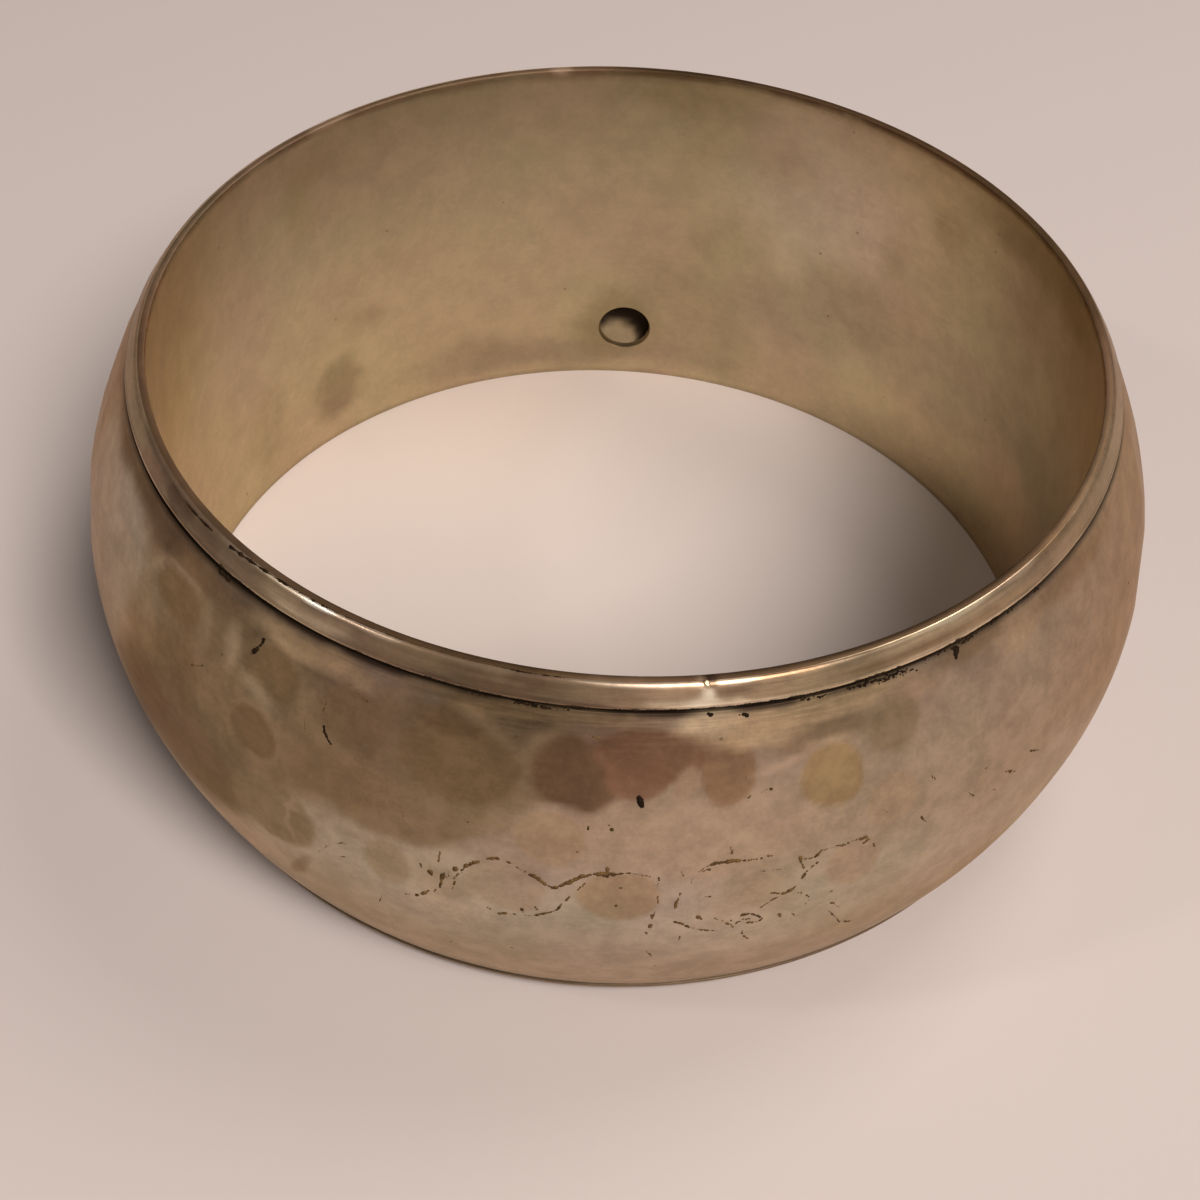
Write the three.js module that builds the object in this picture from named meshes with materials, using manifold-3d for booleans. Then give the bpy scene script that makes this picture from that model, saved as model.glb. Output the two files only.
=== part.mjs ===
// A hollow-form bangle, lying flat. Two pieces of sheet metal make it:
//   rimmed_liner  a plain cylinder that the wrist goes through, with a narrow rim soldered round each end
//   domed_shell   a hammered, bulging band that is trapped between the two rims
// The space between them is hollow. One small round vent in the liner let the air out while it was soldered.
//
// Units are millimetres and +Z is up. The origin is on the axis, at the face that the bangle rests on.
// The front is at -Y. A "turn" is an angle in degrees round the axis, from the front towards +X.
import * as THREE from "three";
import { mergeVertices } from "three/addons/utils/BufferGeometryUtils.js";
import Module from "manifold-3d";

// ---- driving dimensions ----

const WRIST_RADIUS = 32; // inside of the liner: the common 64 mm bangle size
const BAND_HEIGHT = 30.2; // the whole bangle, edge to edge
const LINER_WALL = 0.6;
const SHELL_WALL = 0.55;
const SHELL_GAP = 0.3; // the shell is held, not soldered, so it stays this clear of the rims
const SHELL_EDGE_RADIUS = 33.55; // outside of the shell where it meets a rim
const BULGE_RADIUS = 37.1; // outside of the shell half-way up
const BULGE_POWER = 1.96; // 2 would be a parabola
const RIM_HEIGHT = 1.5;
const VENT = { turn: 180, height: 4.9, radius: 2.15 };
const LINER_SEGMENTS = 108;
const SHELL_SEGMENTS = 144;
const OUTER_ROWS = 15; // rows of facets on the outside of the shell
const INNER_ROWS = 5; // the inside is hidden, so it needs few
const VENT_SEGMENTS = 24;

// One rim in section, from the wrist side round to the underside that the shell meets.
// "out" is measured from the inside of the liner, "down" from the edge of the bangle.
const RIM_SECTION = [
  { out: 0, down: 0.15 }, // softened inner corner
  { out: 0.12, down: 0 },
  { out: 0.7, down: 0 }, // flat end of the liner, which the bangle rests on
  { out: 0.98, down: 0.12 }, // bright bevel
  { out: 1.08, down: 0.3 },
  { out: 1.4, down: 1.2 }, // sloping face
  { out: 1.38, down: RIM_HEIGHT }, // lip
  { out: LINER_WALL, down: RIM_HEIGHT },
];

// The hammer marks that read most clearly. "depth" is how far the middle is pressed in.
const HAMMER_MARKS = [
  { turn: -62, height: 21.5, radius: 3.4, depth: 0.2 },
  { turn: -49, height: 24.4, radius: 2.8, depth: 0.2 },
  { turn: -47.5, height: 20.4, radius: 2.5, depth: 0.18 },
  { turn: -41.5, height: 14.4, radius: 3, depth: 0.22 },
  { turn: -35, height: 24.6, radius: 2.4, depth: 0.2 },
  { turn: -35.5, height: 20.6, radius: 2.2, depth: 0.16 },
  { turn: -31.5, height: 15.6, radius: 2.8, depth: 0.2 },
  { turn: -25, height: 24.6, radius: 2.4, depth: 0.18 },
  { turn: -19.8, height: 16, radius: 2.2, depth: 0.16 },
  { turn: -14, height: 24.7, radius: 3.2, depth: 0.22 },
  { turn: -8.4, height: 16.4, radius: 2.5, depth: 0.16 },
  { turn: -4.6, height: 20.6, radius: 2.1, depth: 0.14 },
  { turn: -3, height: 25, radius: 2.8, depth: 0.18 },
  { turn: 1.8, height: 16.2, radius: 2.6, depth: 0.16 },
  { turn: 11.3, height: 16.4, radius: 2.7, depth: 0.16 },
  { turn: 22, height: 23.8, radius: 2.3, depth: 0.2 },
  { turn: 24.8, height: 17, radius: 2.2, depth: 0.14 },
  { turn: 28.4, height: 21.3, radius: 2, depth: 0.16 },
];

// Away from those marks the hammering went round in courses, each mark half a step on from the one below.
const COURSES = [
  { height: 24.4, count: 26, radius: 2.9, depth: 0.16 },
  { height: 18.6, count: 24, radius: 3.1, depth: 0.16 },
  { height: 12.6, count: 24, radius: 3.1, depth: 0.14 },
];
const COURSE_FROM_TURN = 75; // the courses are laid only on the back, clear of the marks above

// ---- helpers ----

const wasm = await Module();
wasm.setup();

const radians = THREE.MathUtils.degToRad;

// A lathe turned about Z from a closed list of [radius, height] corners.
function turned(corners, segments) {
  const profile = [...corners, corners[0]].map(([radius, height]) => new THREE.Vector2(radius, height));
  const geometry = new THREE.LatheGeometry(profile, segments);
  geometry.rotateX(Math.PI / 2);
  return welded(geometry);
}

// The same geometry with only positions left and its shared corners joined.
function welded(geometry) {
  geometry.deleteAttribute("normal");
  geometry.deleteAttribute("uv");
  return mergeVertices(geometry, 1e-4);
}

function toSolid(geometry) {
  const vertProperties = new Float32Array(geometry.attributes.position.array);
  const triVerts = new Uint32Array(geometry.index.array);
  return new wasm.Manifold(new wasm.Mesh({ numProp: 3, vertProperties, triVerts }));
}

function toGeometry(solid) {
  const { vertProperties, triVerts } = solid.getMesh();
  const geometry = new THREE.BufferGeometry();
  geometry.setAttribute("position", new THREE.BufferAttribute(vertProperties, 3));
  geometry.setIndex(new THREE.BufferAttribute(triVerts, 1));
  return geometry;
}

// ---- rimmed liner ----

// The whole section: the foot's rim, then the same rim upside down at the top, joined by the liner's wall.
function linerSection() {
  const foot = RIM_SECTION.map(({ out, down }) => [WRIST_RADIUS + out, down]);
  const top = RIM_SECTION.map(({ out, down }) => [WRIST_RADIUS + out, BAND_HEIGHT - down]);
  return [...foot, ...top.reverse()];
}

// A round cutter through the wall, pointing away from the axis at the vent's turn.
function ventCutter() {
  const length = 6 * LINER_WALL;
  const cutter = new THREE.CylinderGeometry(VENT.radius, VENT.radius, length, VENT_SEGMENTS);
  cutter.translate(0, -(WRIST_RADIUS + LINER_WALL / 2), 0);
  cutter.rotateZ(radians(VENT.turn));
  cutter.translate(0, 0, VENT.height);
  return welded(cutter);
}

function rimmedLiner() {
  const ring = toSolid(turned(linerSection(), LINER_SEGMENTS));
  return toGeometry(ring.subtract(toSolid(ventCutter())));
}

// ---- domed shell ----

const SHELL_FOOT = RIM_HEIGHT + SHELL_GAP;
const SHELL_TOP = BAND_HEIGHT - SHELL_FOOT;
const MID_HEIGHT = BAND_HEIGHT / 2;
const HALF_SHELL = SHELL_TOP - MID_HEIGHT;

// Outer radius of the plain, unhammered shell at a height.
function bulge(height) {
  const share = Math.abs(height - MID_HEIGHT) / HALF_SHELL;
  return BULGE_RADIUS - (BULGE_RADIUS - SHELL_EDGE_RADIUS) * share ** BULGE_POWER;
}

// Inner radius: the wall is measured square to the sheet, so it is wider across where the shell slopes.
function bulgeInside(height) {
  const step = 0.01;
  const slope = (bulge(height + step) - bulge(height - step)) / (2 * step);
  return bulge(height) - SHELL_WALL * Math.hypot(1, slope);
}

function shellSection() {
  const heightAt = (row, rows) => THREE.MathUtils.lerp(SHELL_FOOT, SHELL_TOP, row / rows);
  const outside = [];
  for (let row = 0; row <= OUTER_ROWS; row += 1) {
    const height = heightAt(row, OUTER_ROWS);
    outside.push([bulge(height), height]);
  }
  const inside = [];
  for (let row = INNER_ROWS; row >= 0; row -= 1) {
    const height = heightAt(row, INNER_ROWS);
    inside.push([bulgeInside(height), height]);
  }
  return [...outside, ...inside];
}

// Every mark on the shell: the clear ones, and the courses round the back.
function allMarks() {
  const marks = [...HAMMER_MARKS];
  COURSES.forEach(({ height, count, radius, depth }, course) => {
    const step = 360 / count;
    for (let turn = COURSE_FROM_TURN; turn < 360 - COURSE_FROM_TURN; turn += step) {
      marks.push({ turn: turn + (course % 2) * (step / 2), height, radius, depth });
    }
  });
  return marks;
}

// How far the hammer pressed the sheet in at a point: a shallow bowl for each mark, the deepest one winning.
function pressedIn(turn, height, marks) {
  const deepest = (most, mark) => {
    const across = Math.abs(((turn - mark.turn + 540) % 360) - 180);
    const round = radians(across) * bulge(height);
    const reach = Math.hypot(round, height - mark.height) / mark.radius;
    return reach < 1 ? Math.max(most, mark.depth * (1 - reach ** 2)) : most;
  };
  return marks.reduce(deepest, 0);
}

function domedShell() {
  const geometry = turned(shellSection(), SHELL_SEGMENTS);
  const marks = allMarks();
  const place = geometry.attributes.position;
  const midWall = SHELL_WALL / 2;
  for (let corner = 0; corner < place.count; corner += 1) {
    const x = place.getX(corner);
    const y = place.getY(corner);
    const height = place.getZ(corner);
    const radius = Math.hypot(x, y);
    const isEdge = height < SHELL_FOOT + SHELL_WALL || height > SHELL_TOP - SHELL_WALL;
    if (radius > bulge(height) - midWall && !isEdge) {
      const turn = THREE.MathUtils.radToDeg(Math.atan2(x, -y));
      const pressed = 1 - pressedIn(turn, height, marks) / radius;
      place.setXY(corner, x * pressed, y * pressed);
    }
  }
  return geometry;
}

// ---- assembly ----

function piece(name, geometry, color, roughness) {
  const material = new THREE.MeshStandardMaterial({ color, roughness, metalness: 1 });
  const mesh = new THREE.Mesh(geometry, material);
  mesh.name = name;
  return mesh;
}

const bangle = new THREE.Group();
bangle.add(piece("rimmed_liner", rimmedLiner(), 0xa08a66, 0.5));
bangle.add(piece("domed_shell", domedShell(), 0xa58c70, 0.42));

export default bangle;
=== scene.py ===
# %% [markdown]
# # A hollow hammered bangle
#
# This lesson dresses a wide bangle that a silversmith would call a hollow form. A plain cylinder of sheet
# metal, the liner, goes round the wrist. A second sheet, hammered and domed outwards, wraps it. A narrow rim
# wire is soldered round each end of the liner, and the two rims trap the dome between them. The frame that we
# load first already holds these parts at their true size. Here we give them their fine shape and their worn,
# tarnished finish, with some light and shade painted into its colours.

# %% Load the frame
import math
import random

import bmesh
import bpy
from mathutils import Matrix, Vector, noise


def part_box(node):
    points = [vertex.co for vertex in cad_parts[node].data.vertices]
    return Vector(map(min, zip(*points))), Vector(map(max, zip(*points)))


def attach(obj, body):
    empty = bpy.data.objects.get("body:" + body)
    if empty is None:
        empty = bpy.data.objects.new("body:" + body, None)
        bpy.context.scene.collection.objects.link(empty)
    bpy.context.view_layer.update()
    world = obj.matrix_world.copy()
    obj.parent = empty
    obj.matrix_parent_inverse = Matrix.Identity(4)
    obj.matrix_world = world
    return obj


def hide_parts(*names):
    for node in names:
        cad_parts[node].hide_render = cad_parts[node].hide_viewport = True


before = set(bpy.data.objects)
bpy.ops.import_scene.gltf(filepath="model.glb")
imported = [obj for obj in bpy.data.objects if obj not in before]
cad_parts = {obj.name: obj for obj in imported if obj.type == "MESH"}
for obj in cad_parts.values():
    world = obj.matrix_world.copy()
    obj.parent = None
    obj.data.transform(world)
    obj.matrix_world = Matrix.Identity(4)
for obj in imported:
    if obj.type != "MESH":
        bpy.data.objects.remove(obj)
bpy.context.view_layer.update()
MM = 0.001

# %% [markdown]
# ## Sizes
#
# Every size of the bangle is read from the frame, so the finish always fits the construction. A box gives the
# heights. A ring's inner and outer radius come from how far its corners lie from the axis.
#
# Places on the bangle are given as a maker would: a *turn* in degrees round the axis, where 0 is the front
# (-Y) and 90 the right-hand side (+X), and a *height* in millimetres above the table.

# %% Measure the frame


def ring_radii(node_name, low, high):
    """Smallest and largest distance from the axis of a node's corners between two heights."""
    corners = [v.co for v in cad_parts[node_name].data.vertices if low <= v.co.z <= high]
    radii = [math.hypot(c.x, c.y) for c in corners]
    return min(radii), max(radii)


BAND_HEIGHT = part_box("rimmed_liner")[1].z
MID_HEIGHT = BAND_HEIGHT / 2
SHELL_FOOT, SHELL_TOP = (corner.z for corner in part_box("domed_shell"))
WRIST_RADIUS, RIM_RADIUS = ring_radii("rimmed_liner", 0, BAND_HEIGHT)
SHELL_INSIDE, BULGE_RADIUS = ring_radii("domed_shell", 0, BAND_HEIGHT)
SHELL_EDGE_RADIUS = ring_radii("domed_shell", SHELL_TOP - 0.1 * MM, SHELL_TOP)[1]
print(f"wrist radius {WRIST_RADIUS / MM:.2f}, rim {RIM_RADIUS / MM:.2f}, bulge {BULGE_RADIUS / MM:.2f} mm")


def on_band(turn, radius, height):
    """The point at a turn in degrees, a radius and a height in metres."""
    angle = math.radians(turn)
    return Vector((radius * math.sin(angle), -radius * math.cos(angle), height))

# %% [markdown]
# ## Camera, floor and light
#
# A bangle of this kind is seen best from above and in front, so that both the hammered outside and the plain
# inside show. The camera looks down at about 46 degrees with the head tipped a little to one side. The main
# light is a soft panel high on the right in front, with a weaker one behind it. A small lamp on the left puts
# a glint on the rim. The room is dim and warm: metal shows mostly what it reflects, so the room matters as
# much as the lamps.

# %% Camera


def linked(name, data):
    """A new object for a mesh, a lamp or a camera, in the scene."""
    thing = bpy.data.objects.new(name, data)
    bpy.context.scene.collection.objects.link(thing)
    return thing


CAMERA_PLACE = Vector((-0.85, -110.2, 115.94)) * MM
LOOK_DOWN = math.radians(45.57)
HEAD_TIP = math.radians(3.06)
LENS = 61.61
FILM_WIDTH = 36

forward = Vector((0, math.cos(LOOK_DOWN), -math.sin(LOOK_DOWN)))
level_up = Vector((0, math.sin(LOOK_DOWN), math.cos(LOOK_DOWN)))
level_right = Vector((1, 0, 0))
right = level_right * math.cos(HEAD_TIP) + level_up * math.sin(HEAD_TIP)
up = level_up * math.cos(HEAD_TIP) - level_right * math.sin(HEAD_TIP)
turned = Matrix((right, up, -forward)).transposed().to_4x4()

camera = linked("camera", bpy.data.cameras.new("camera"))
camera.data.lens = LENS
camera.data.sensor_width = FILM_WIDTH
camera.data.clip_start = 1 * MM
camera.matrix_world = Matrix.Translation(CAMERA_PLACE) @ turned
bpy.context.scene.camera = camera
print("camera", [round(c / MM, 1) for c in CAMERA_PLACE], "looks down", round(math.degrees(LOOK_DOWN), 1))

# %% Floor
FLOOR_REACH = 1.5
FLOOR_TONE = (0.62, 0.575, 0.585, 1)

floor_mesh = bpy.data.meshes.new("floor")
floor_corners = [Vector((x, y, 0)) * FLOOR_REACH for x, y in ((-1, -1), (1, -1), (1, 1), (-1, 1))]
floor_mesh.from_pydata(floor_corners, [], [(0, 1, 2, 3)])
floor = linked("floor", floor_mesh)
floor_paint = bpy.data.materials.new("pale matt floor")
floor_paint.use_nodes = True
floor_shader = floor_paint.node_tree.nodes["Principled BSDF"]
floor_shader.inputs["Base Color"].default_value = FLOOR_TONE
floor_shader.inputs["Roughness"].default_value = 0.9
floor_mesh.materials.append(floor_paint)
print("floor", FLOOR_REACH * 2, "m square")

# %% Lights
LAMP_COLOUR = (1.0, 0.89, 0.79)
ROOM_COLOUR = (1.0, 0.8, 0.62, 1)
ROOM_STRENGTH = 0.035


def soft_panel(name, turn, rise, distance, size, power):
    """A square area lamp in a direction from the bangle, turned to face it."""
    lamp = bpy.data.lights.new(name, "AREA")
    lamp.size = size
    lamp.energy = power
    lamp.color = LAMP_COLOUR
    holder = linked(name, lamp)
    level = distance * math.cos(math.radians(rise))
    holder.location = on_band(turn, level, distance * math.sin(math.radians(rise)))
    holder.rotation_mode = "QUATERNION"
    holder.rotation_quaternion = (-holder.location).to_track_quat("-Z", "Y")


soft_panel("main panel", turn=30, rise=50, distance=0.9, size=0.32, power=7.65)
soft_panel("back panel", turn=130, rise=60, distance=0.6, size=0.25, power=1.0)
soft_panel("side lamp", turn=-67, rise=47, distance=0.5, size=0.04, power=0.2)

room = bpy.data.worlds.new("dim room")
room.use_nodes = True
room_light = room.node_tree.nodes["Background"]
room_light.inputs["Color"].default_value = ROOM_COLOUR
room_light.inputs["Strength"].default_value = ROOM_STRENGTH
bpy.context.scene.world = room
bpy.context.scene.view_settings.view_transform = "Standard"

# %% [markdown]
# ## Wiring nodes
#
# Both the shapes and the finishes below are node trees. These short helpers keep their building readable.
# Each adds one node or a few, feeds the sockets with numbers or with the outputs of other nodes, and hands
# back what comes out.

# %% Helpers for node trees


def feed(tree, socket, value):
    """Gives a socket a constant, or links another node's output to it."""
    if isinstance(value, bpy.types.NodeSocket):
        tree.links.new(value, socket)
    else:
        socket.default_value = value


def add(tree, kind, feeds=None, **settings):
    """A node of a kind, with its settings and its sockets fed by name."""
    made = tree.nodes.new(kind)
    for name, value in settings.items():
        setattr(made, name, value)
    for name, value in (feeds or {}).items():
        feed(tree, made.inputs[name], value)
    return made

# %% Numbers and vectors


def maths(tree, operation, *values):
    """A number worked out from one, two or three numbers."""
    made = add(tree, "ShaderNodeMath", operation=operation)
    for socket, value in zip(made.inputs, values):
        feed(tree, socket, value)
    return made.outputs[0]


def total(tree, first, *others):
    """The sum of numbers."""
    for other in others:
        first = maths(tree, "ADD", first, other)
    return first


def less(tree, first, second):
    """The first number less the second."""
    return maths(tree, "SUBTRACT", first, second)


def product(tree, first, *others):
    """The product of numbers."""
    for other in others:
        first = maths(tree, "MULTIPLY", first, other)
    return first


def long_side(tree, one, other):
    """The long side of a right-angled triangle."""
    return maths(tree, "SQRT", total(tree, maths(tree, "POWER", one, 2.0), maths(tree, "POWER", other, 2.0)))


def vectors(tree, operation, *values):
    """A vector worked out from vectors, or a number for LENGTH and DISTANCE."""
    made = add(tree, "ShaderNodeVectorMath", operation=operation)
    for socket, value in zip(made.inputs, values):
        feed(tree, socket, value)
    return made.outputs["Value" if operation in ("LENGTH", "DISTANCE") else "Vector"]


def times(tree, vector, factor):
    """A vector made longer or shorter by a number."""
    made = add(tree, "ShaderNodeVectorMath", {0: vector, "Scale": factor}, operation="SCALE")
    return made.outputs["Vector"]


def between(tree, value, low, high, at_low=0.0, at_high=1.0):
    """A value from low to high, eased smoothly into the range at_low to at_high."""
    feeds = {"Value": value, "From Min": low, "From Max": high, "To Min": at_low, "To Max": at_high}
    return add(tree, "ShaderNodeMapRange", feeds, interpolation_type="SMOOTHSTEP").outputs[0]

# %% Colours and noise


def blended(tree, share, first, second, way="MIX"):
    """Two colours blended: a share of 0 is the first, 1 the second."""
    mixer = add(tree, "ShaderNodeMix", data_type="RGBA", blend_type=way)
    for socket, value in zip((mixer.inputs[0], mixer.inputs[6], mixer.inputs[7]), (share, first, second)):
        feed(tree, socket, value)
    return mixer.outputs[2]


def grain(tree, place, size, detail=2.0, output="Fac", rough=0.5):
    """Noise whose lumps are about this size across. Most of its values lie between 0.3 and 0.7."""
    scale = maths(tree, "DIVIDE", 1.0, size)
    feeds = {"Vector": place, "Scale": scale, "Detail": detail, "Roughness": rough}
    return add(tree, "ShaderNodeTexNoise", feeds).outputs[output]


def stretched(tree, noise_value, at_low=0.0, at_high=1.0):
    """Noise stretched from its usual values to a whole range."""
    return between(tree, noise_value, 0.3, 0.7, at_low, at_high)


def here(tree):
    """The place of each point."""
    return add(tree, "GeometryNodeInputPosition").outputs[0]

# %% Starting and ending a shape's tree


def shape_tree(name, inputs):
    """A new tree with named inputs, given as name and kind, and what those inputs give."""
    tree = bpy.data.node_groups.new(name, "GeometryNodeTree")
    tree.is_modifier = True
    for label, kind in inputs.items():
        tree.interface.new_socket(label, in_out="INPUT", socket_type="NodeSocket" + kind)
    tree.interface.new_socket("Geometry", in_out="OUTPUT", socket_type="NodeSocketGeometry")
    return tree, tree.nodes.new("NodeGroupInput").outputs


def end_tree(tree, geometry, material):
    """Ends a tree as every one here ends: instances made real, and a material set."""
    real = add(tree, "GeometryNodeRealizeInstances", {"Geometry": geometry}).outputs[0]
    done = add(tree, "GeometryNodeSetMaterial", {"Geometry": real, "Material": material}).outputs[0]
    add(tree, "NodeGroupOutput", {"Geometry": done})
    print(f"{tree.name}: {len(tree.nodes)} nodes")
    return tree

# %% [markdown]
# ## Rings with a history
#
# The shell, the liner and the two rims are all rings: one section swept round one axis, so one recipe makes
# them all. It works in the order of the bench. A section is spun round the axis. Hammer marks are pressed in,
# one after another, each a shallow round bowl, and where two meet the deeper wins, which leaves the sharp
# ridge that a real hammer leaves. Then the colours of age, with some painted light and shade among them, are
# laid on as patches, each mixed over the ones before it. Both the marks and the patches are rows of a table,
# and a Repeat Zone works through the rows, so a maker can add a mark by adding a row.

# %% Tables that nodes can read


def hidden(name, mesh):
    """A helper object that nodes read and no picture shows."""
    helper = linked(name, mesh)
    helper.hide_render = True
    return helper


def give_points(mesh, name, values):
    """Gives a number, or a colour as three numbers, to every point of a mesh."""
    if values and isinstance(values[0], tuple):
        layer = mesh.attributes.new(name, "FLOAT_COLOR", "POINT")
        layer.data.foreach_set("color", [part for value in values for part in (*value, 1.0)])
    else:
        layer = mesh.attributes.new(name, "FLOAT", "POINT")
        layer.data.foreach_set("value", values)


def as_points(name, columns, rows):
    """A table as a hidden mesh: a loose point for each row, and an attribute for each column."""
    mesh = bpy.data.meshes.new(name)
    mesh.from_pydata([(0, 0, 0)] * len(rows), [], [])
    for index, column in enumerate(columns):
        give_points(mesh, column, [row[index] for row in rows])
    print(f"{name}: {len(rows)} rows")
    return hidden(name, mesh)


def object_shape(tree, helper):
    """The geometry of a hidden helper object."""
    return add(tree, "GeometryNodeObjectInfo", {"Object": helper}).outputs["Geometry"]


def named(tree, name, kind="FLOAT"):
    """An attribute by its name."""
    return add(tree, "GeometryNodeInputNamedAttribute", {"Name": name}, data_type=kind).outputs["Attribute"]


def stored(tree, geometry, name, value, kind="FLOAT"):
    """The geometry with a value kept on every point of it."""
    feeds = {"Geometry": geometry, "Name": name, "Value": value}
    return add(tree, "GeometryNodeStoreNamedAttribute", feeds, data_type=kind, domain="POINT").outputs[0]


def for_each_row(tree, table, geometry, change):
    """Lets change(cell, geometry) work on the geometry once for each row of a table."""
    rows = add(tree, "GeometryNodeAttributeDomainSize", {"Geometry": table}, component="MESH")
    enter = add(tree, "GeometryNodeRepeatInput")
    leave = add(tree, "GeometryNodeRepeatOutput")
    enter.pair_with_output(leave)
    feed(tree, enter.inputs["Iterations"], rows.outputs["Point Count"])
    feed(tree, enter.inputs["Geometry"], geometry)
    row = enter.outputs["Iteration"]

    def cell(column, kind="FLOAT"):
        feeds = {"Geometry": table, "Value": named(tree, column, kind), "Index": row}
        return add(tree, "GeometryNodeSampleIndex", feeds, data_type=kind, domain="POINT").outputs[0]

    feed(tree, leave.inputs["Geometry"], change(cell, enter.outputs["Geometry"]))
    return leave.outputs["Geometry"]

# %% Where a point lies on the band


def polar(tree, position):
    """A point's turn in degrees, its level distance from the axis, and its height."""
    parts = add(tree, "ShaderNodeSeparateXYZ", {0: position}).outputs
    turn = maths(tree, "DEGREES", maths(tree, "ARCTAN2", parts[0], product(tree, parts[1], -1.0)))
    radius = vectors(tree, "LENGTH", vectors(tree, "MULTIPLY", position, (1, 1, 0)))
    return turn, radius, parts[2]


def from_place(tree, position, cell):
    """How far a point lies along the band, by the shorter side, and upwards, from the place of a row."""
    turn, radius, height = polar(tree, position)
    apart = maths(tree, "WRAP", less(tree, turn, cell("turn")), 180.0, -180.0)
    return product(tree, maths(tree, "RADIANS", apart), radius), less(tree, height, cell("height"))

# %% A section spun round the axis
RAW = -1.0


def outline(name, points):
    """A closed section as a hidden wire. Each point is (out from the liner's inside, height, dullness).

    Dullness runs from 0, kept bright by touch, to 1, never cleaned. RAW stands for metal left rough as it was
    soldered. The ring carries both to the shader.
    """
    wire = bpy.data.meshes.new(name)
    count = len(points)
    edges = [(i, (i + 1) % count) for i in range(count)]
    wire.from_pydata([(x, height, 0) for x, height, dull in points], edges, [])
    give_points(wire, "dull", [0.0 if dull == RAW else dull for x, height, dull in points])
    give_points(wire, "raw", [1.0 if dull == RAW else 0.0 for x, height, dull in points])
    return hidden(name, wire)


def spun(tree, section, rail_radius, segments):
    """Sweeps a section round the axis. Curve to Mesh lays x outwards and y downwards: y is flipped first."""
    feeds = {"Geometry": object_shape(tree, section), "Scale": (1, -1, 1)}
    flipped = add(tree, "GeometryNodeTransform", feeds).outputs[0]
    profile = add(tree, "GeometryNodeMeshToCurve", {"Mesh": flipped}).outputs[0]
    circle = add(tree, "GeometryNodeCurvePrimitiveCircle", {"Resolution": segments, "Radius": rail_radius})
    rail = add(tree, "GeometryNodeSetCurveNormal", {"Curve": circle.outputs[0]}, mode="Z_UP").outputs[0]
    ring = add(tree, "GeometryNodeCurveToMesh", {"Curve": rail, "Profile Curve": profile}).outputs[0]
    return add(tree, "GeometryNodeSetShadeSmooth", {"Geometry": ring}).outputs[0]

# %% Hammering


def hammered(tree, table, geometry):
    """Finds how deep each point is pressed by the deepest of the marks that cover it."""

    def blow(cell, geometry):
        away = long_side(tree, *from_place(tree, here(tree), cell))
        share = maths(tree, "DIVIDE", away, cell("radius"))
        bowl = product(tree, cell("depth"), less(tree, 1.0, product(tree, share, share)))
        return stored(tree, geometry, "pressed", maths(tree, "MAXIMUM", named(tree, "pressed"), bowl))

    return for_each_row(tree, table, stored(tree, geometry, "pressed", 0.0), blow)

# %% Stains with wandering edges
WANDER_SIZE = 5 * MM
LEAST_WANDER = 0.6 * MM
SOFT_WANDER = 7 * MM
MOST_WANDER = 2.5


def with_stains_and_painted_light(tree, table, geometry, inside_only=False):
    """Lays the patches of a table, stains and painted light alike, over the patina, with edges that wander as
    real stains do.

    A soft patch wanders further, but never more than MOST_WANDER times its own rise.
    """

    def patch(cell, geometry):
        position = here(tree)
        lumps = grain(tree, position, WANDER_SIZE, 3.0, "Color", 0.6)
        wander = vectors(tree, "SUBTRACT", lumps, (0.5, 0.5, 0.5))
        stray = total(tree, LEAST_WANDER, product(tree, cell("softness"), SOFT_WANDER))
        stray = maths(tree, "MINIMUM", stray, product(tree, cell("rise"), MOST_WANDER))
        strayed = vectors(tree, "ADD", position, times(tree, wander, stray))
        across, rise = from_place(tree, strayed, cell)
        lean = maths(tree, "RADIANS", cell("lean"))
        cosine = maths(tree, "COSINE", lean)
        sine = maths(tree, "SINE", lean)
        leant = total(tree, product(tree, across, cosine), product(tree, rise, sine))
        stood = less(tree, product(tree, rise, cosine), product(tree, across, sine))
        far = maths(tree, "DIVIDE", leant, cell("width"))
        away = long_side(tree, far, maths(tree, "DIVIDE", stood, cell("rise")))
        core = less(tree, 1.0, cell("softness"))
        edge = total(tree, 1.0, cell("softness"))
        cover = between(tree, away, core, edge, cell("strength"), 0.0)
        if inside_only:
            cover = product(tree, cover, named(tree, "raw"))
        now = blended(tree, cover, named(tree, "patina", "FLOAT_COLOR"), cell("tone", "FLOAT_COLOR"))
        return stored(tree, geometry, "patina", now, "FLOAT_COLOR")

    return for_each_row(tree, table, geometry, patch)

# %% The whole recipe


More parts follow.
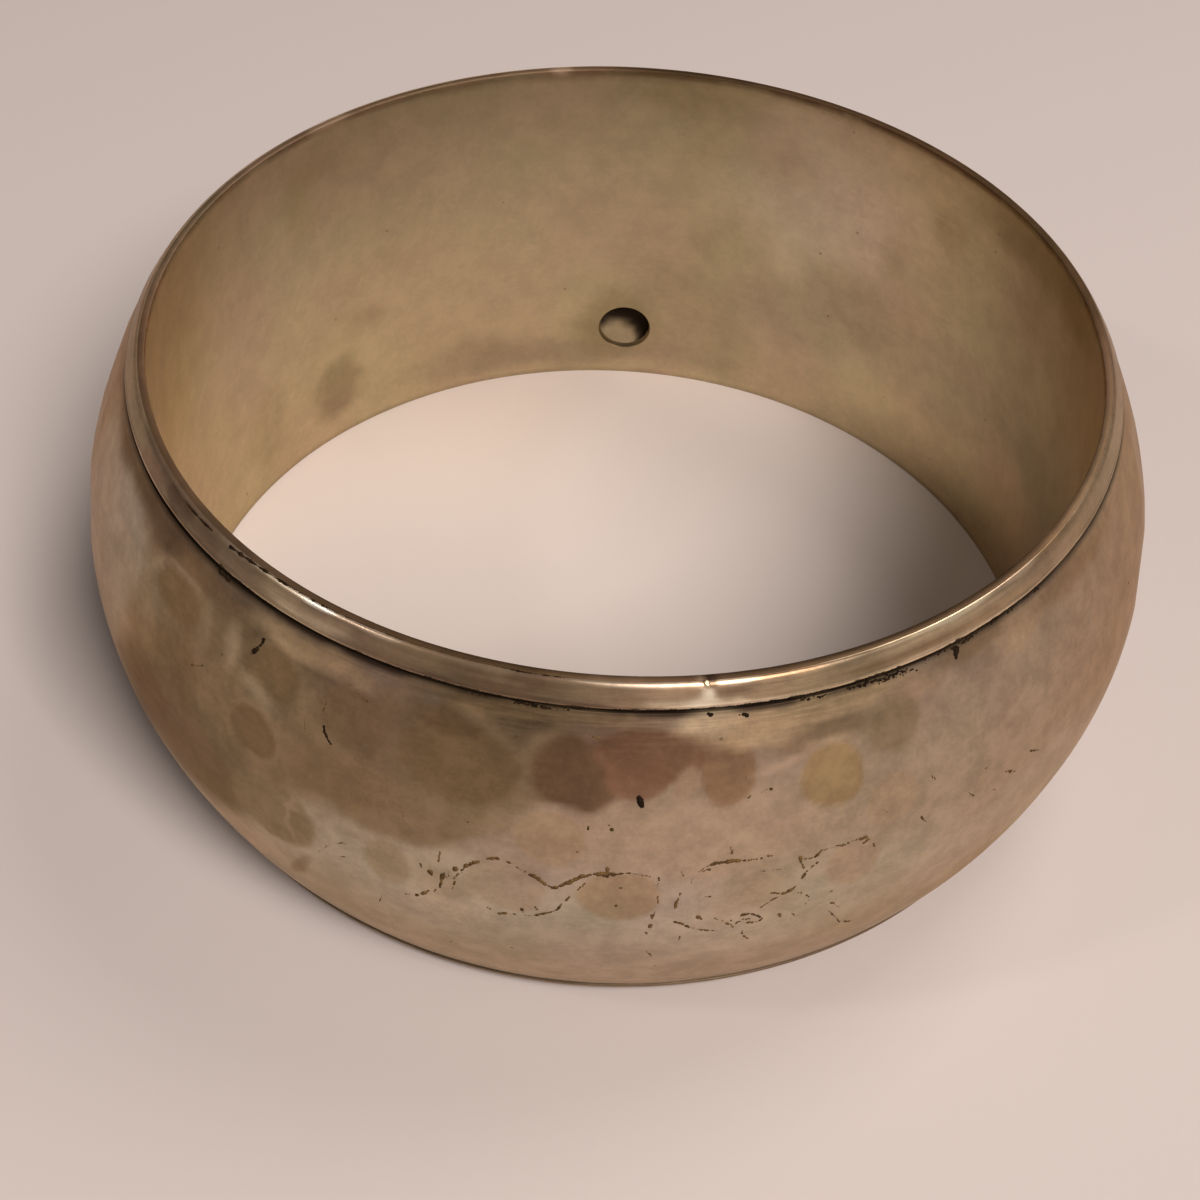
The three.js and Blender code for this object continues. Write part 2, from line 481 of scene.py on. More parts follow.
def worked_ring_tree():
    """The whole recipe as one tree with named inputs."""
    tree, given = shape_tree(
        "worked ring",
        {
            "Section": "Object",
            "Marks": "Object",
            "Patches": "Object",
            "Inside patches": "Object",
            "Rail radius": "Float",
            "Segments": "Int",
            "Tone": "Color",
            "Buckle": "Float",
            "Buckle size": "Float",
            "Widening": "Float",
            "Middle height": "Float",
            "Half height": "Float",
            "Metal": "Material",
        },
    )
    ring = spun(tree, given["Section"], given["Rail radius"], given["Segments"])
    ring = hammered(tree, object_shape(tree, given["Marks"]), ring)
    ring = stored(tree, ring, "patina", given["Tone"], "FLOAT_COLOR")
    ring = with_stains_and_painted_light(tree, object_shape(tree, given["Patches"]), ring)
    ring = with_stains_and_painted_light(tree, object_shape(tree, given["Inside patches"]), ring, inside_only=True)

    position = here(tree)
    turn, radius, height = polar(tree, position)
    from_middle = maths(tree, "DIVIDE", less(tree, height, given["Middle height"]), given["Half height"])
    belly = less(tree, 1.0, maths(tree, "POWER", maths(tree, "ABSOLUTE", from_middle), 2.0))
    sideways = maths(tree, "POWER", maths(tree, "SINE", maths(tree, "RADIANS", turn)), 2.0)
    wider = product(tree, sideways, belly, given["Widening"])
    lumps = less(tree, grain(tree, position, given["Buckle size"], 1.5), 0.5)
    buckled = product(tree, lumps, given["Buckle"])
    moved = less(tree, total(tree, wider, buckled), named(tree, "pressed"))
    outwards = vectors(tree, "NORMALIZE", vectors(tree, "MULTIPLY", position, (1, 1, 0)))
    feeds = {"Geometry": ring, "Offset": times(tree, outwards, moved)}
    ring = add(tree, "GeometryNodeSetPosition", feeds).outputs[0]
    return end_tree(tree, ring, given["Metal"])


worked_ring = worked_ring_tree()

# %% Growing a plain mesh from a recipe


def grown(name, tree, values):
    """The plain mesh object that a tree gives with these input values."""
    seed = linked(name + ".seed", bpy.data.meshes.new(name + ".seed"))
    recipe = seed.modifiers.new("recipe", "NODES")
    recipe.node_group = tree
    for item in tree.interface.items_tree:
        if item.in_out == "INPUT" and item.name in values:
            recipe[item.identifier] = values[item.name]
    evaluated = seed.evaluated_get(bpy.context.evaluated_depsgraph_get())
    mesh = bpy.data.meshes.new_from_object(evaluated)
    seed.modifiers.remove(recipe)
    bpy.data.objects.remove(seed)
    mesh.name = name
    print(f"{name}: {sum(len(p.vertices) - 2 for p in mesh.polygons)} triangles")
    return linked(name, mesh)


def keep(piece, node):
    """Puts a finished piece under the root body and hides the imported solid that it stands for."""
    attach(piece, "root")
    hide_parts(node)


def tidy_away(*helpers):
    """Removes hidden helpers once a piece is made."""
    for helper in helpers:
        bpy.data.objects.remove(helper)

# %% A ring from its tables
MARK_COLUMNS = ("turn", "height", "radius", "depth")
PATCH_COLUMNS = ("turn", "height", "width", "rise", "softness", "strength", "lean", "tone")


def stain_table(name, rows):
    """Stains and painted light as a table in metres. A row ends with its tone, or with its tone and a lean in
    degrees.
    """
    patches = []
    for turn, height, width, rise, softness, strength, tone, *lean in rows:
        sizes = (height * MM, width * MM, rise * MM)
        patches.append((turn, *sizes, softness, strength, lean[0] if lean else 0, tone))
    return as_points(name, PATCH_COLUMNS, patches)


def ring_piece(name, points, tone, metal, stains, segments, buckle, marks=(), inside=(), widening=0.0):
    """One worked ring. Buckle is how far the sheet waves in and out, and how long the waves are."""
    section = outline(name + " section", points)
    mark_table = as_points(name + " marks", MARK_COLUMNS, marks)
    outer_table = stain_table(name + " stains", stains)
    inner_table = stain_table(name + " inside stains", inside)
    values = {
        "Section": section,
        "Marks": mark_table,
        "Patches": outer_table,
        "Inside patches": inner_table,
        "Rail radius": WRIST_RADIUS,
        "Segments": segments,
        "Tone": (*tone, 1.0),
        "Buckle": buckle[0],
        "Buckle size": buckle[1],
        "Widening": widening,
        "Middle height": MID_HEIGHT,
        "Half height": SHELL_TOP - MID_HEIGHT,
        "Metal": metal,
    }
    piece = grown(name, worked_ring, values)
    tidy_away(section, mark_table, outer_table, inner_table)
    return piece

# %% [markdown]
# ## Old metal
#
# The metal is a pale, slightly yellow alloy that has dulled for years. It's still metal, so it has no paint
# colour of its own: the colour tints what it reflects. The dulling is thin, so it shows as tints that drift
# from olive to pink over a few millimetres, as freckles, and as a gloss that changes from place to place. The
# patina attribute, laid on by the ring recipe, carries the large stains, and also the light
# and shade painted into the colour. The shader adds everything smaller.

# %% The metal shader
DRIFT_SIZE = 11 * MM
MOTTLE_SIZE = 2.6 * MM
SCRATCH_SIZE = 3 * MM
FRECKLE_SPACING = 1.3 * MM
FAINT_OLIVE = (0.99, 1.0, 0.96, 1)
FAINT_PINK = (1.03, 0.985, 1.0, 1)
FRECKLE_TONE = (0.14, 0.1, 0.055, 1)
EDGE_TINT = (0.8, 0.64, 0.5, 1)
PITTING = [(1.5 * MM, 0.013), (0.35 * MM, 0.003)]


def old_metal(name, gloss, gloss_drift, clouding, freckles, bare=1.0):
    """Dulled metal: patina and painted light, drifting tints, freckles and fine scratches.

    Bare is how much of it shines through: the rest is a thin tarnish that scatters light.
    """
    metal = bpy.data.materials.new(name)
    metal.use_nodes = True
    tree = metal.node_tree
    shader = tree.nodes["Principled BSDF"]

    place = add(tree, "ShaderNodeTexCoord").outputs["Object"]
    patina = add(tree, "ShaderNodeAttribute", attribute_name="patina").outputs["Color"]
    dull = add(tree, "ShaderNodeAttribute", attribute_name="dull").outputs["Fac"]
    raw = add(tree, "ShaderNodeAttribute", attribute_name="raw").outputs["Fac"]

    drift = grain(tree, place, DRIFT_SIZE, 1.0, rough=0.6)
    mottle = grain(tree, place, MOTTLE_SIZE, 4.0, rough=0.8)
    hue = blended(tree, between(tree, drift, 0.36, 0.64), FAINT_OLIVE, FAINT_PINK)
    colour = blended(tree, 1.0, patina, hue, "MULTIPLY")
    colour = times(tree, colour, stretched(tree, mottle, 1.0 - clouding, 1.0 + clouding))

    cells = add(tree, "ShaderNodeTexVoronoi", {"Vector": place, "Scale": 1 / FRECKLE_SPACING})
    lot = add(tree, "ShaderNodeSeparateColor", {"Color": cells.outputs["Color"]}).outputs[0]
    size = between(tree, lot, 0.8, 1.0, 0.0, 0.1)
    speck = between(tree, less(tree, cells.outputs["Distance"], size), -0.03, 0.02, freckles, 0.0)
    colour = blended(tree, speck, colour, FRECKLE_TONE)
    colour = blended(tree, dull, colour, times(tree, colour, 0.25))
    feed(tree, shader.inputs["Base Color"], colour)
    shader.inputs["Specular Tint"].default_value = EDGE_TINT
    shine = between(tree, dull, 0.0, 1.0, bare, 0.85 * bare)
    feed(tree, shader.inputs["Metallic"], less(tree, shine, product(tree, raw, 0.9)))

    slanted = {"Vector": place, "Rotation": (0.5, 0.9, 0.2), "Scale": (1, 1, 20)}
    drawn = add(tree, "ShaderNodeMapping", slanted).outputs[0]
    scratches = between(tree, grain(tree, drawn, SCRATCH_SIZE, 2.0, rough=0.75), 0.32, 0.68)
    haze = total(tree, product(tree, drift, 0.8), product(tree, scratches, 0.2))
    gloss_here = between(tree, haze, 0.25, 0.75, gloss - gloss_drift, gloss + gloss_drift)
    grime = total(tree, product(tree, speck, 0.25), product(tree, dull, 0.2), product(tree, raw, 0.3))
    feed(tree, shader.inputs["Roughness"], total(tree, gloss_here, grime))

    depths = [product(tree, grain(tree, place, size, 0.0), depth) for size, depth in PITTING]
    bump = add(tree, "ShaderNodeBump", {"Height": total(tree, *depths), "Distance": MM, "Strength": 1.0})
    feed(tree, shader.inputs["Normal"], bump.outputs[0])
    print(f"{name}: {len(tree.nodes)} nodes")
    return metal


shell_metal = old_metal("hammered shell metal", gloss=0.36, gloss_drift=0.07, clouding=0.15, freckles=0.7)
liner_metal = old_metal("liner metal", gloss=0.44, gloss_drift=0.06, clouding=0.08, freckles=0.4)
rim_metal = old_metal("rim metal", gloss=0.3, gloss_drift=0.06, clouding=0.12, freckles=0.5, bare=0.65)

# %% Colours of age and of painted light, as tints of the metal
CLEAN = (0.46, 0.36, 0.27)
# the next two tones paint highlights on the ridges between hammer marks
PAINTED_RIDGE_LIGHT = (0.54, 0.43, 0.3)
PAINTED_GLEAM = (0.62, 0.49, 0.35)
BURNISHED = (0.95, 0.78, 0.52)
SANDY = (0.74, 0.56, 0.35)
DULL_TAN = (0.4, 0.3, 0.19)
ORANGE_TAN = (0.42, 0.3, 0.165)
PINK = (0.32, 0.19, 0.115)
PINK_BROWN = (0.35, 0.23, 0.135)
OLIVE = (0.3, 0.22, 0.135)
OLIVE_BROWN = (0.27, 0.187, 0.105)
GREEN_GREY = (0.34, 0.26, 0.16)
PURPLE_GREY = (0.49, 0.44, 0.39)
STONE = (0.53, 0.48, 0.39)
PLUM_BROWN = (0.215, 0.14, 0.08)
BROWN = (0.22, 0.15, 0.088)
print("patina of the shell:", CLEAN)

# %% [markdown]
# ## The hammered shell
#
# The outer band is one sheet, domed and then hammered from outside with a ball-faced hammer, in rows near the
# top and the middle. The marks in front are placed one by one. Round the back they follow the same rows, with
# the small irregularity of handwork. The dome is a little wider than it is deep, as a band is that has been
# worked on a stake.

# %% Hammer marks
FRONT_MARKS = [
    # turn, height, radius and depth
    (-62, 21.5, 3.4, 0.16),
    (-49.8, 24.6, 2.8, 0.16),
    (-48, 20.4, 2.6, 0.14),
    (-44, 14.4, 3.2, 0.16),
    (-34.8, 24.7, 2.4, 0.17),
    (-36, 20.6, 2.1, 0.13),
    (-34, 15.2, 3.1, 0.16),
    (-25, 24.8, 2.3, 0.14),
    (-26, 20.5, 2.6, 0.1),
    (-20.4, 15.4, 2.1, 0.12),
    (-14, 24.5, 3.4, 0.17),
    (-8.6, 16.1, 2.6, 0.11),
    (-4.8, 20.4, 2.2, 0.1),
    (-4, 24.8, 2.8, 0.14),
    (2, 15.9, 2.6, 0.12),
    (8.8, 24.6, 1.2, 0.06),
    (12, 16, 2.8, 0.11),
    (22, 23.6, 2.2, 0.17),
    (24.8, 16.6, 2.2, 0.1),
    (28.4, 20.9, 2.0, 0.12),
    (36, 20.8, 2.1, 0.08),
    (36, 25, 2.1, 0.07),
    (45, 21.2, 2.4, 0.08),
    (46, 25, 2.3, 0.08),
    (38, 14.5, 2.6, 0.07),
    (-15, 11.2, 2.4, 0.06),
]
COURSES = [
    # height, marks in the course, size of a mark
    (24.4, 26, 2.9),
    (18.6, 24, 2.7),
    (12.6, 24, 3.0),
]
BACK_FROM, BACK_TO = 72, 288
HAND_SEED = 11


def course_marks(hand):
    """The rows of marks round the back, each a little off its place."""
    rows = []
    for height, count, size in COURSES:
        for index in range(count):
            even = BACK_FROM + (BACK_TO - BACK_FROM) * (index + 0.5) / count
            turn = even + hand.uniform(-1.8, 1.8)
            radius = size * hand.uniform(0.8, 1.1)
            rows.append((turn, height + hand.uniform(-1.1, 1.1), radius, radius * hand.uniform(0.035, 0.055)))
    return rows


all_marks = FRONT_MARKS + course_marks(random.Random(HAND_SEED))
shell_marks = [(turn, height * MM, radius * MM, depth * MM) for turn, height, radius, depth in all_marks]
print(f"{len(FRONT_MARKS)} marks in front, {len(shell_marks)} in all")

# %% Stains and painted light on the shell
SHELL_STAINS_AND_PAINTED_LIGHT = [
    # turn, height, width, rise, softness, strength, tone and, where it leans, the lean
    # broad drifts of tone
    (5, 8, 42, 9.5, 0.35, 0.85, STONE),
    # a pale patch low on the left paints the reflection of the lit floor
    (-43, 6, 5, 3, 0.6, 0.8, (0.64, 0.53, 0.41), 50),
    (58, 6.5, 8, 4, 0.6, 0.85, (0.39, 0.31, 0.19)),
    (46, 6.5, 7, 3, 0.6, 0.7, (0.41, 0.33, 0.22)),
    (9, 20.8, 8, 3.2, 0.5, 0.8, (0.54, 0.43, 0.3)),
    (-14, 14, 2.6, 3, 0.6, 0.7, (0.7, 0.6, 0.48)),
    (12, 11.5, 4, 3, 0.7, 0.6, (0.62, 0.56, 0.45)),
    (-27, 11.5, 5, 3.5, 0.6, 0.6, (0.59, 0.52, 0.43)),
    (50, 14, 5, 4, 0.7, 0.6, (0.55, 0.5, 0.42)),
    (42, 23, 9, 4, 0.8, 0.5, (0.44, 0.35, 0.26)),
    # the dark upper left, with a scalloped lower edge
    (-38, 22.5, 14, 5.4, 0.2, 0.95, OLIVE),
    (-20.5, 22.3, 6.6, 4.7, 0.12, 0.95, OLIVE),
    (-10, 25.4, 5, 3.4, 0.12, 0.95, OLIVE),
    (-11, 21.5, 2.2, 1.8, 0.4, 0.7, (0.33, 0.255, 0.15)),
    (-56, 23.8, 3, 3.2, 0.5, 0.7, (0.36, 0.295, 0.215)),
    # the darker left side, painted shade that stands for the dark reflection there, and the paler metal beyond
    # it
    (-47.5, 15, 7.6, 5.2, 0.25, 0.95, (0.22, 0.17, 0.115)),
    (-33.5, 15, 3.6, 2.9, 0.1, 0.9, (0.31, 0.245, 0.16)),
    (-55.5, 15, 3.6, 3.6, 0.5, 0.85, (0.175, 0.125, 0.085)),
    (-62, 9.5, 5, 4, 0.5, 0.9, (0.17, 0.12, 0.085)),
    (-67.5, 23, 6.5, 6, 0.3, 0.9, PURPLE_GREY),
    (-68, 16, 10, 3.3, 0.3, 0.9, (0.43, 0.38, 0.32), 55),
    # marks, each disc tinted: partly tarnish and partly a painted reflection of what its facet faces
    (-49.8, 25, 2.3, 1.5, 0.12, 0.75, OLIVE_BROWN),
    (-34.8, 24.9, 2.2, 1.6, 0.1, 0.75, OLIVE_BROWN),
    (-25, 25, 2.2, 1.9, 0.1, 0.35, OLIVE_BROWN),
    (-30, 25.2, 0.9, 1.6, 0.5, 0.6, DULL_TAN),
    (-48, 20.6, 2.6, 2.4, 0.2, 0.7, (0.235, 0.175, 0.11)),
    (-36, 20.6, 1.9, 1.7, 0.08, 0.85, BROWN),
    (-26, 20.6, 4, 1.9, 0.2, 0.6, (0.29, 0.205, 0.12)),
    (-14, 24.4, 3.7, 2.5, 0.08, 0.85, OLIVE_BROWN),
    (-15.5, 26.8, 2.2, 0.75, 0.3, 0.8, (0.19, 0.125, 0.07), -8),
    (-2.5, 24.8, 2.8, 2.2, 0.15, 0.95, PLUM_BROWN),
    (1, 27.4, 2.6, 0.7, 0.5, 0.6, (0.33, 0.22, 0.15)),
    (-14.5, 15.3, 1.8, 1.6, 0.6, 0.6, (0.38, 0.29, 0.2)),
    (14, 15, 2.5, 2.4, 0.7, 0.6, (0.44, 0.33, 0.205)),
    (4.6, 26.2, 3.4, 1.7, 0.12, 0.95, PINK),
    (3, 25, 1.9, 1.6, 0.12, 0.9, PINK),
    (11.6, 25, 1.6, 2.2, 0.12, 0.95, PINK_BROWN),
    (7.6, 24.4, 0.8, 1.1, 0.3, 0.9, (0.5, 0.365, 0.25)),
    (21, 26.3, 3.4, 0.9, 0.4, 0.85, (0.36, 0.265, 0.165)),
    (29, 25.4, 1.9, 1.4, 0.35, 0.85, GREEN_GREY),
    (22, 23.6, 1.95, 2.15, 0.06, 0.95, ORANGE_TAN),
    (28.4, 20.9, 1.8, 1.9, 0.12, 0.7, (0.48, 0.36, 0.24)),
    (-20.4, 15.3, 1.7, 1.9, 0.1, 0.8, (0.44, 0.35, 0.24)),
    (-8.6, 16.1, 2.5, 2.4, 0.1, 0.8, (0.46, 0.37, 0.27)),
    (2, 15.9, 2.5, 2.3, 0.1, 0.85, (0.44, 0.33, 0.21)),
    (24.8, 16.6, 1.9, 2, 0.12, 0.8, (0.48, 0.365, 0.265)),
    (-4.8, 20.4, 2.1, 2, 0.12, 0.7, (0.46, 0.355, 0.215)),
    # strips under the seam
    (-62, 28, 11, 0.9, 0.8, 0.95, (0.19, 0.135, 0.095)),
    (-54, 27.5, 3, 1.1, 0.9, 0.8, (0.15, 0.1, 0.07)),
    # a thin dark strip along the shell's top edge paints the shadow under the rim's lip
    (-5, 28.62, 38, 0.13, 0.3, 0.85, (0.1, 0.06, 0.038)),
    (-46, 27.5, 4, 0.8, 0.4, 0.9, (0.29, 0.2, 0.125)),
    # this paler strip paints light from the left falling under the seam
    (-31, 27.6, 4.5, 0.75, 0.4, 0.9, SANDY),
    (-20.5, 27.3, 1.8, 0.7, 0.5, 0.6, (0.45, 0.33, 0.2)),
    (-8, 28.2, 7, 0.5, 0.4, 0.8, (0.52, 0.37, 0.22)),
    (14, 27.4, 3.6, 1.0, 0.4, 0.85, (0.78, 0.6, 0.37)),
    (10, 28, 2.2, 0.7, 0.4, 0.95, BURNISHED),
    (21, 27.8, 6, 0.7, 0.4, 0.9, SANDY),
    (31, 27.2, 2.6, 0.7, 0.5, 0.7, (0.56, 0.42, 0.28)),
    (40, 28.1, 3, 0.5, 0.5, 0.7, (0.33, 0.23, 0.13)),
    (47, 27.6, 3, 0.9, 0.5, 0.8, (0.56, 0.42, 0.28)),
    (57, 27.7, 5, 0.9, 0.5, 0.85, (0.37, 0.27, 0.17)),
    # ridges between marks, with painted highlights where their edges catch the light
    (-50, 26.5, 2.5, 0.26, 0.7, 0.55, (0.5, 0.38, 0.27)),
    (-54.3, 25.7, 0.8, 0.3, 0.7, 0.5, (0.5, 0.38, 0.27), 50),
    (-40.3, 25.2, 1.4, 0.6, 0.7, 0.7, PAINTED_RIDGE_LIGHT, 100),
    (-36, 23.4, 1.4, 0.5, 0.7, 0.7, PAINTED_RIDGE_LIGHT, -20),
    (-44.6, 25, 1.6, 0.6, 0.7, 0.5, (0.46, 0.36, 0.25), 90),
    (-30.2, 14.8, 0.25, 2.2, 0.7, 0.5, PAINTED_GLEAM),
    (-4.4, 22.6, 1.6, 0.2, 0.7, 0.6, PAINTED_GLEAM),
    (22, 25.85, 1.5, 0.2, 0.7, 0.7, PAINTED_GLEAM),
    (17, 25.1, 2, 0.2, 0.7, 0.6, PAINTED_GLEAM, 15),
    (-31.5, 9.8, 2.2, 0.5, 0.4, 0.7, (0.3, 0.22, 0.16), 57),
]
print(f"{len(SHELL_STAINS_AND_PAINTED_LIGHT)} stains on the shell")

# %% The shell's section
SEAM_CLOSED_BY = 0.2 * MM
SHELL_WALL = SHELL_EDGE_RADIUS - SHELL_INSIDE
BULGE_POWER = 1.96
EDGE_SOFTENING = 0.08 * MM
EDGE_DULLNESS = 0.8
FINE_INSIDE_UP_TO = 6.2 * MM
OUTER_ROWS, FINE_ROWS, COARSE_ROWS = 84, 8, 5


def bulge(height):
    """The dome's radius at a height."""
    share = abs(height - MID_HEIGHT) / (SHELL_TOP - MID_HEIGHT)
    return BULGE_RADIUS - (BULGE_RADIUS - SHELL_EDGE_RADIUS) * share**BULGE_POWER


def spaced(start, end, steps):
    """Even steps from start to end, both included."""
    return [start + (end - start) * step / steps for step in range(steps + 1)]


def dome_section(foot, top):
    """Up the outside, over the softened edge, down the inside and back. The inside is finest by the vent."""
    soft = EDGE_SOFTENING
    outside = [(bulge(h) - WRIST_RADIUS, h, 0.0) for h in spaced(foot + soft, top - soft, OUTER_ROWS)]
    fine = spaced(foot + soft, FINE_INSIDE_UP_TO, FINE_ROWS)
    inside_heights = fine[:-1] + spaced(FINE_INSIDE_UP_TO, top - soft, COARSE_ROWS)
    inside = [(bulge(h) - WRIST_RADIUS - SHELL_WALL, h, RAW) for h in reversed(inside_heights)]
    outer_x, inner_x = outside[-1][0], inside[0][0]
    outside[0] = (outer_x, foot + soft, EDGE_DULLNESS)
    outside[-1] = (outer_x, top - soft, EDGE_DULLNESS)
    across = [(outer_x - 0.35 * soft, 0.3 * soft), (outer_x - soft, 0), (inner_x + soft, 0)]
    top_edge = [(x, top - down, 1.0) for x, down in across]
    foot_edge = [(x, foot + top - h, dull) for x, h, dull in reversed(top_edge)]
    return outside + top_edge + inside + foot_edge


dome = dome_section(SHELL_FOOT - SEAM_CLOSED_BY, SHELL_TOP + SEAM_CLOSED_BY)
print(f"dome section of {len(dome)} points, wall {SHELL_WALL / MM:.2f} mm")

# %% [markdown]
# The hidden inside of the shell shows through the vent, and its colour is painted there: a dark patch paints
# the shadow, round a paler spot that paints the light falling in through the vent. These patches go on the
# inside only.

# %% The shell
PAINTED_VENT_SHADOW_AND_LIT_SPOT = [
    # painted shadow inside the vent
    (180, 4, 3.2, 3, 0.2, 1.0, (0.03, 0.02, 0.013)),
    # painted light where it falls in through the vent
    (181.1, 2.75, 1.85, 1.25, 0.2, 1.0, (0.31, 0.24, 0.15)),
]
shell = ring_piece(
    "shell.hammered",
    dome,
    CLEAN,
    shell_metal,
    SHELL_STAINS_AND_PAINTED_LIGHT,
    segments=900,
    buckle=(0.14 * MM, 9 * MM),
    marks=shell_marks,
    inside=PAINTED_VENT_SHADOW_AND_LIT_SPOT,
    widening=0.3 * MM,
)
keep(shell, "domed_shell")

# %% [markdown]
# ## Dirt in the low places
#
# Old polish and dirt dry in the grooves between hammer marks, and stay there as beaded lines. In nature they
# are crumbs, so they are built as crumbs: a line is drawn on the band, points are spread along it, some are
# dropped, and a flat grain is laid on the metal at each that is left. The grain has only 20 faces, because
# there are so many.

# %% Lines for crumbs to follow


def drawn_lines(name, lines):
    """Lines as a hidden wire. Each is (thickness, spread, gaps, points), in millimetres.

    A point is (turn, height) on the dome, or (turn, height, radius).
    """
    wire = bpy.data.meshes.new(name)
    corners, edges, thick, spread, gaps = [], [], [], [], []
    for width, stray, missing, points in lines:
        first = len(corners)
        for turn, height, *radius in points:
            out = radius[0] * MM if radius else bulge(height * MM)
            corners.append(on_band(turn, out, height * MM))
        edges += [(i, i + 1) for i in range(first, len(corners) - 1)]
        thick += [width * MM] * len(points)
        spread += [stray * MM] * len(points)
        gaps += [missing] * len(points)
    wire.from_pydata(corners, edges, [])
    give_points(wire, "thick", thick)
    give_points(wire, "spread", spread)
    give_points(wire, "gaps", gaps)
    return hidden(name, wire)

# %% Crumbs along lines
CLUMP_SIZE = 0.9 * MM
LUMP_SIZE = 0.7 * MM
CRUMB_FLATNESS = 0.35


def chance(tree, low, high, seed):
    """A random number for each point."""
    made = add(tree, "FunctionNodeRandomValue", {2: low, 3: high, 8: seed}, data_type="FLOAT")
    return made.outputs[1]


def crumb_tree():
    """Flat grains strewn along lines and laid on the nearest metal."""
    inputs = {"Lines": "Object", "Ground": "Object", "Spacing": "Float", "Dirt": "Material"}
    tree, given = shape_tree("crumbs along lines", inputs)

    wires = add(tree, "GeometryNodeMeshToCurve", {"Mesh": object_shape(tree, given["Lines"])}).outputs[0]
    curves = add(tree, "GeometryNodeCurveSplineType", {"Curve": wires}, spline_type="CATMULL_ROM").outputs[0]
    feeds = {"Curve": curves, "Length": given["Spacing"]}
    strewn = add(tree, "GeometryNodeCurveToPoints", feeds, mode="LENGTH")
    position = here(tree)
    clumps = stretched(tree, grain(tree, position, CLUMP_SIZE, 1.0))
    luck = total(tree, product(tree, clumps, 0.6), chance(tree, 0.0, 0.4, 1))
    missing = maths(tree, "LESS_THAN", luck, named(tree, "gaps"))
    feeds = {"Geometry": strewn.outputs["Points"], "Selection": missing}
    left = add(tree, "GeometryNodeDeleteGeometry", feeds, domain="POINT").outputs[0]
    anywhere = {axis: chance(tree, -1.0, 1.0, 2 + axis) for axis in range(3)}
    shift = add(tree, "ShaderNodeCombineXYZ", anywhere).outputs[0]
    shift = times(tree, shift, named(tree, "spread"))
    moved = add(tree, "GeometryNodeSetPosition", {"Geometry": left, "Offset": shift}).outputs[0]

    ground = object_shape(tree, given["Ground"])
    nearest = add(tree, "GeometryNodeProximity", {0: ground}, target_element="FACES").outputs["Position"]
    laid = add(tree, "GeometryNodeSetPosition", {"Geometry": moved, "Position": nearest}).outputs[0]
    feeds = {"Mesh": ground, "Value": add(tree, "GeometryNodeInputNormal").outputs[0]}
    upward = add(tree, "GeometryNodeSampleNearestSurface", feeds, data_type="FLOAT_VECTOR").outputs[0]
    along = add(tree, "FunctionNodeAlignRotationToVector", {"Vector": strewn.outputs["Tangent"]}, axis="X")
    feeds = {"Rotation": along.outputs[0], "Vector": upward}
    flat = add(tree, "FunctionNodeAlignRotationToVector", feeds, axis="Z", pivot_axis="X").outputs[0]

    crumb = add(tree, "GeometryNodeMeshIcoSphere", {"Radius": 0.5, "Subdivisions": 1}).outputs[0]
    lump = stretched(tree, grain(tree, position, LUMP_SIZE, 1.0), 0.35, 1.3)
    size = product(tree, named(tree, "thick"), lump, chance(tree, 0.6, 1.2, 7))
    longer = product(tree, size, chance(tree, 0.9, 1.5, 8))
    thin = product(tree, size, CRUMB_FLATNESS)
    scale = add(tree, "ShaderNodeCombineXYZ", {0: longer, 1: size, 2: thin}).outputs[0]
    feeds = {"Points": laid, "Instance": crumb, "Rotation": flat, "Scale": scale}
    crumbs = add(tree, "GeometryNodeInstanceOnPoints", feeds).outputs[0]
    real = add(tree, "GeometryNodeRealizeInstances", {"Geometry": crumbs}).outputs[0]
    smooth = add(tree, "GeometryNodeSetShadeSmooth", {"Geometry": real}).outputs[0]
    return end_tree(tree, smooth, given["Dirt"])


crumbs_along_lines = crumb_tree()

# %% Dirt


def dry_dirt(name, tone):
    """Matt dirt, a little uneven. Under the rim's lip it also paints the shadow of the seam."""
    dirt = bpy.data.materials.new(name)
    dirt.use_nodes = True
    tree = dirt.node_tree
    place = add(tree, "ShaderNodeTexCoord").outputs["Object"]
    uneven = stretched(tree, grain(tree, place, 0.6 * MM, 1.0))
    light = [part * 1.5 for part in tone]
    dark = [part * 0.6 for part in tone]
    shader = tree.nodes["Principled BSDF"]
    feed(tree, shader.inputs["Base Color"], blended(tree, uneven, (*dark, 1), (*light, 1)))
    shader.inputs["Roughness"].default_value = 0.8
    shader.inputs["Specular IOR Level"].default_value = 0.1
    return dirt


groove_dirt = dry_dirt("groove dirt", (0.115, 0.068, 0.026))
# this dark material also paints the black shadow line in the seam under the rim's lip
seam_dirt_and_shadow = dry_dirt("seam dirt and shadow", (0.02, 0.011, 0.005))


def crumb_piece(name, lines, ground, spacing, dirt):
    """Crumbs of dirt along lines, laid on another piece."""
    wire = drawn_lines(name + " lines", lines)
    values = {"Lines": wire, "Ground": ground, "Spacing": spacing, "Dirt": dirt}
    piece = grown(name, crumbs_along_lines, values)
    tidy_away(wire)
    return piece


print("dirt:", groove_dirt.name, "and", seam_dirt_and_shadow.name)

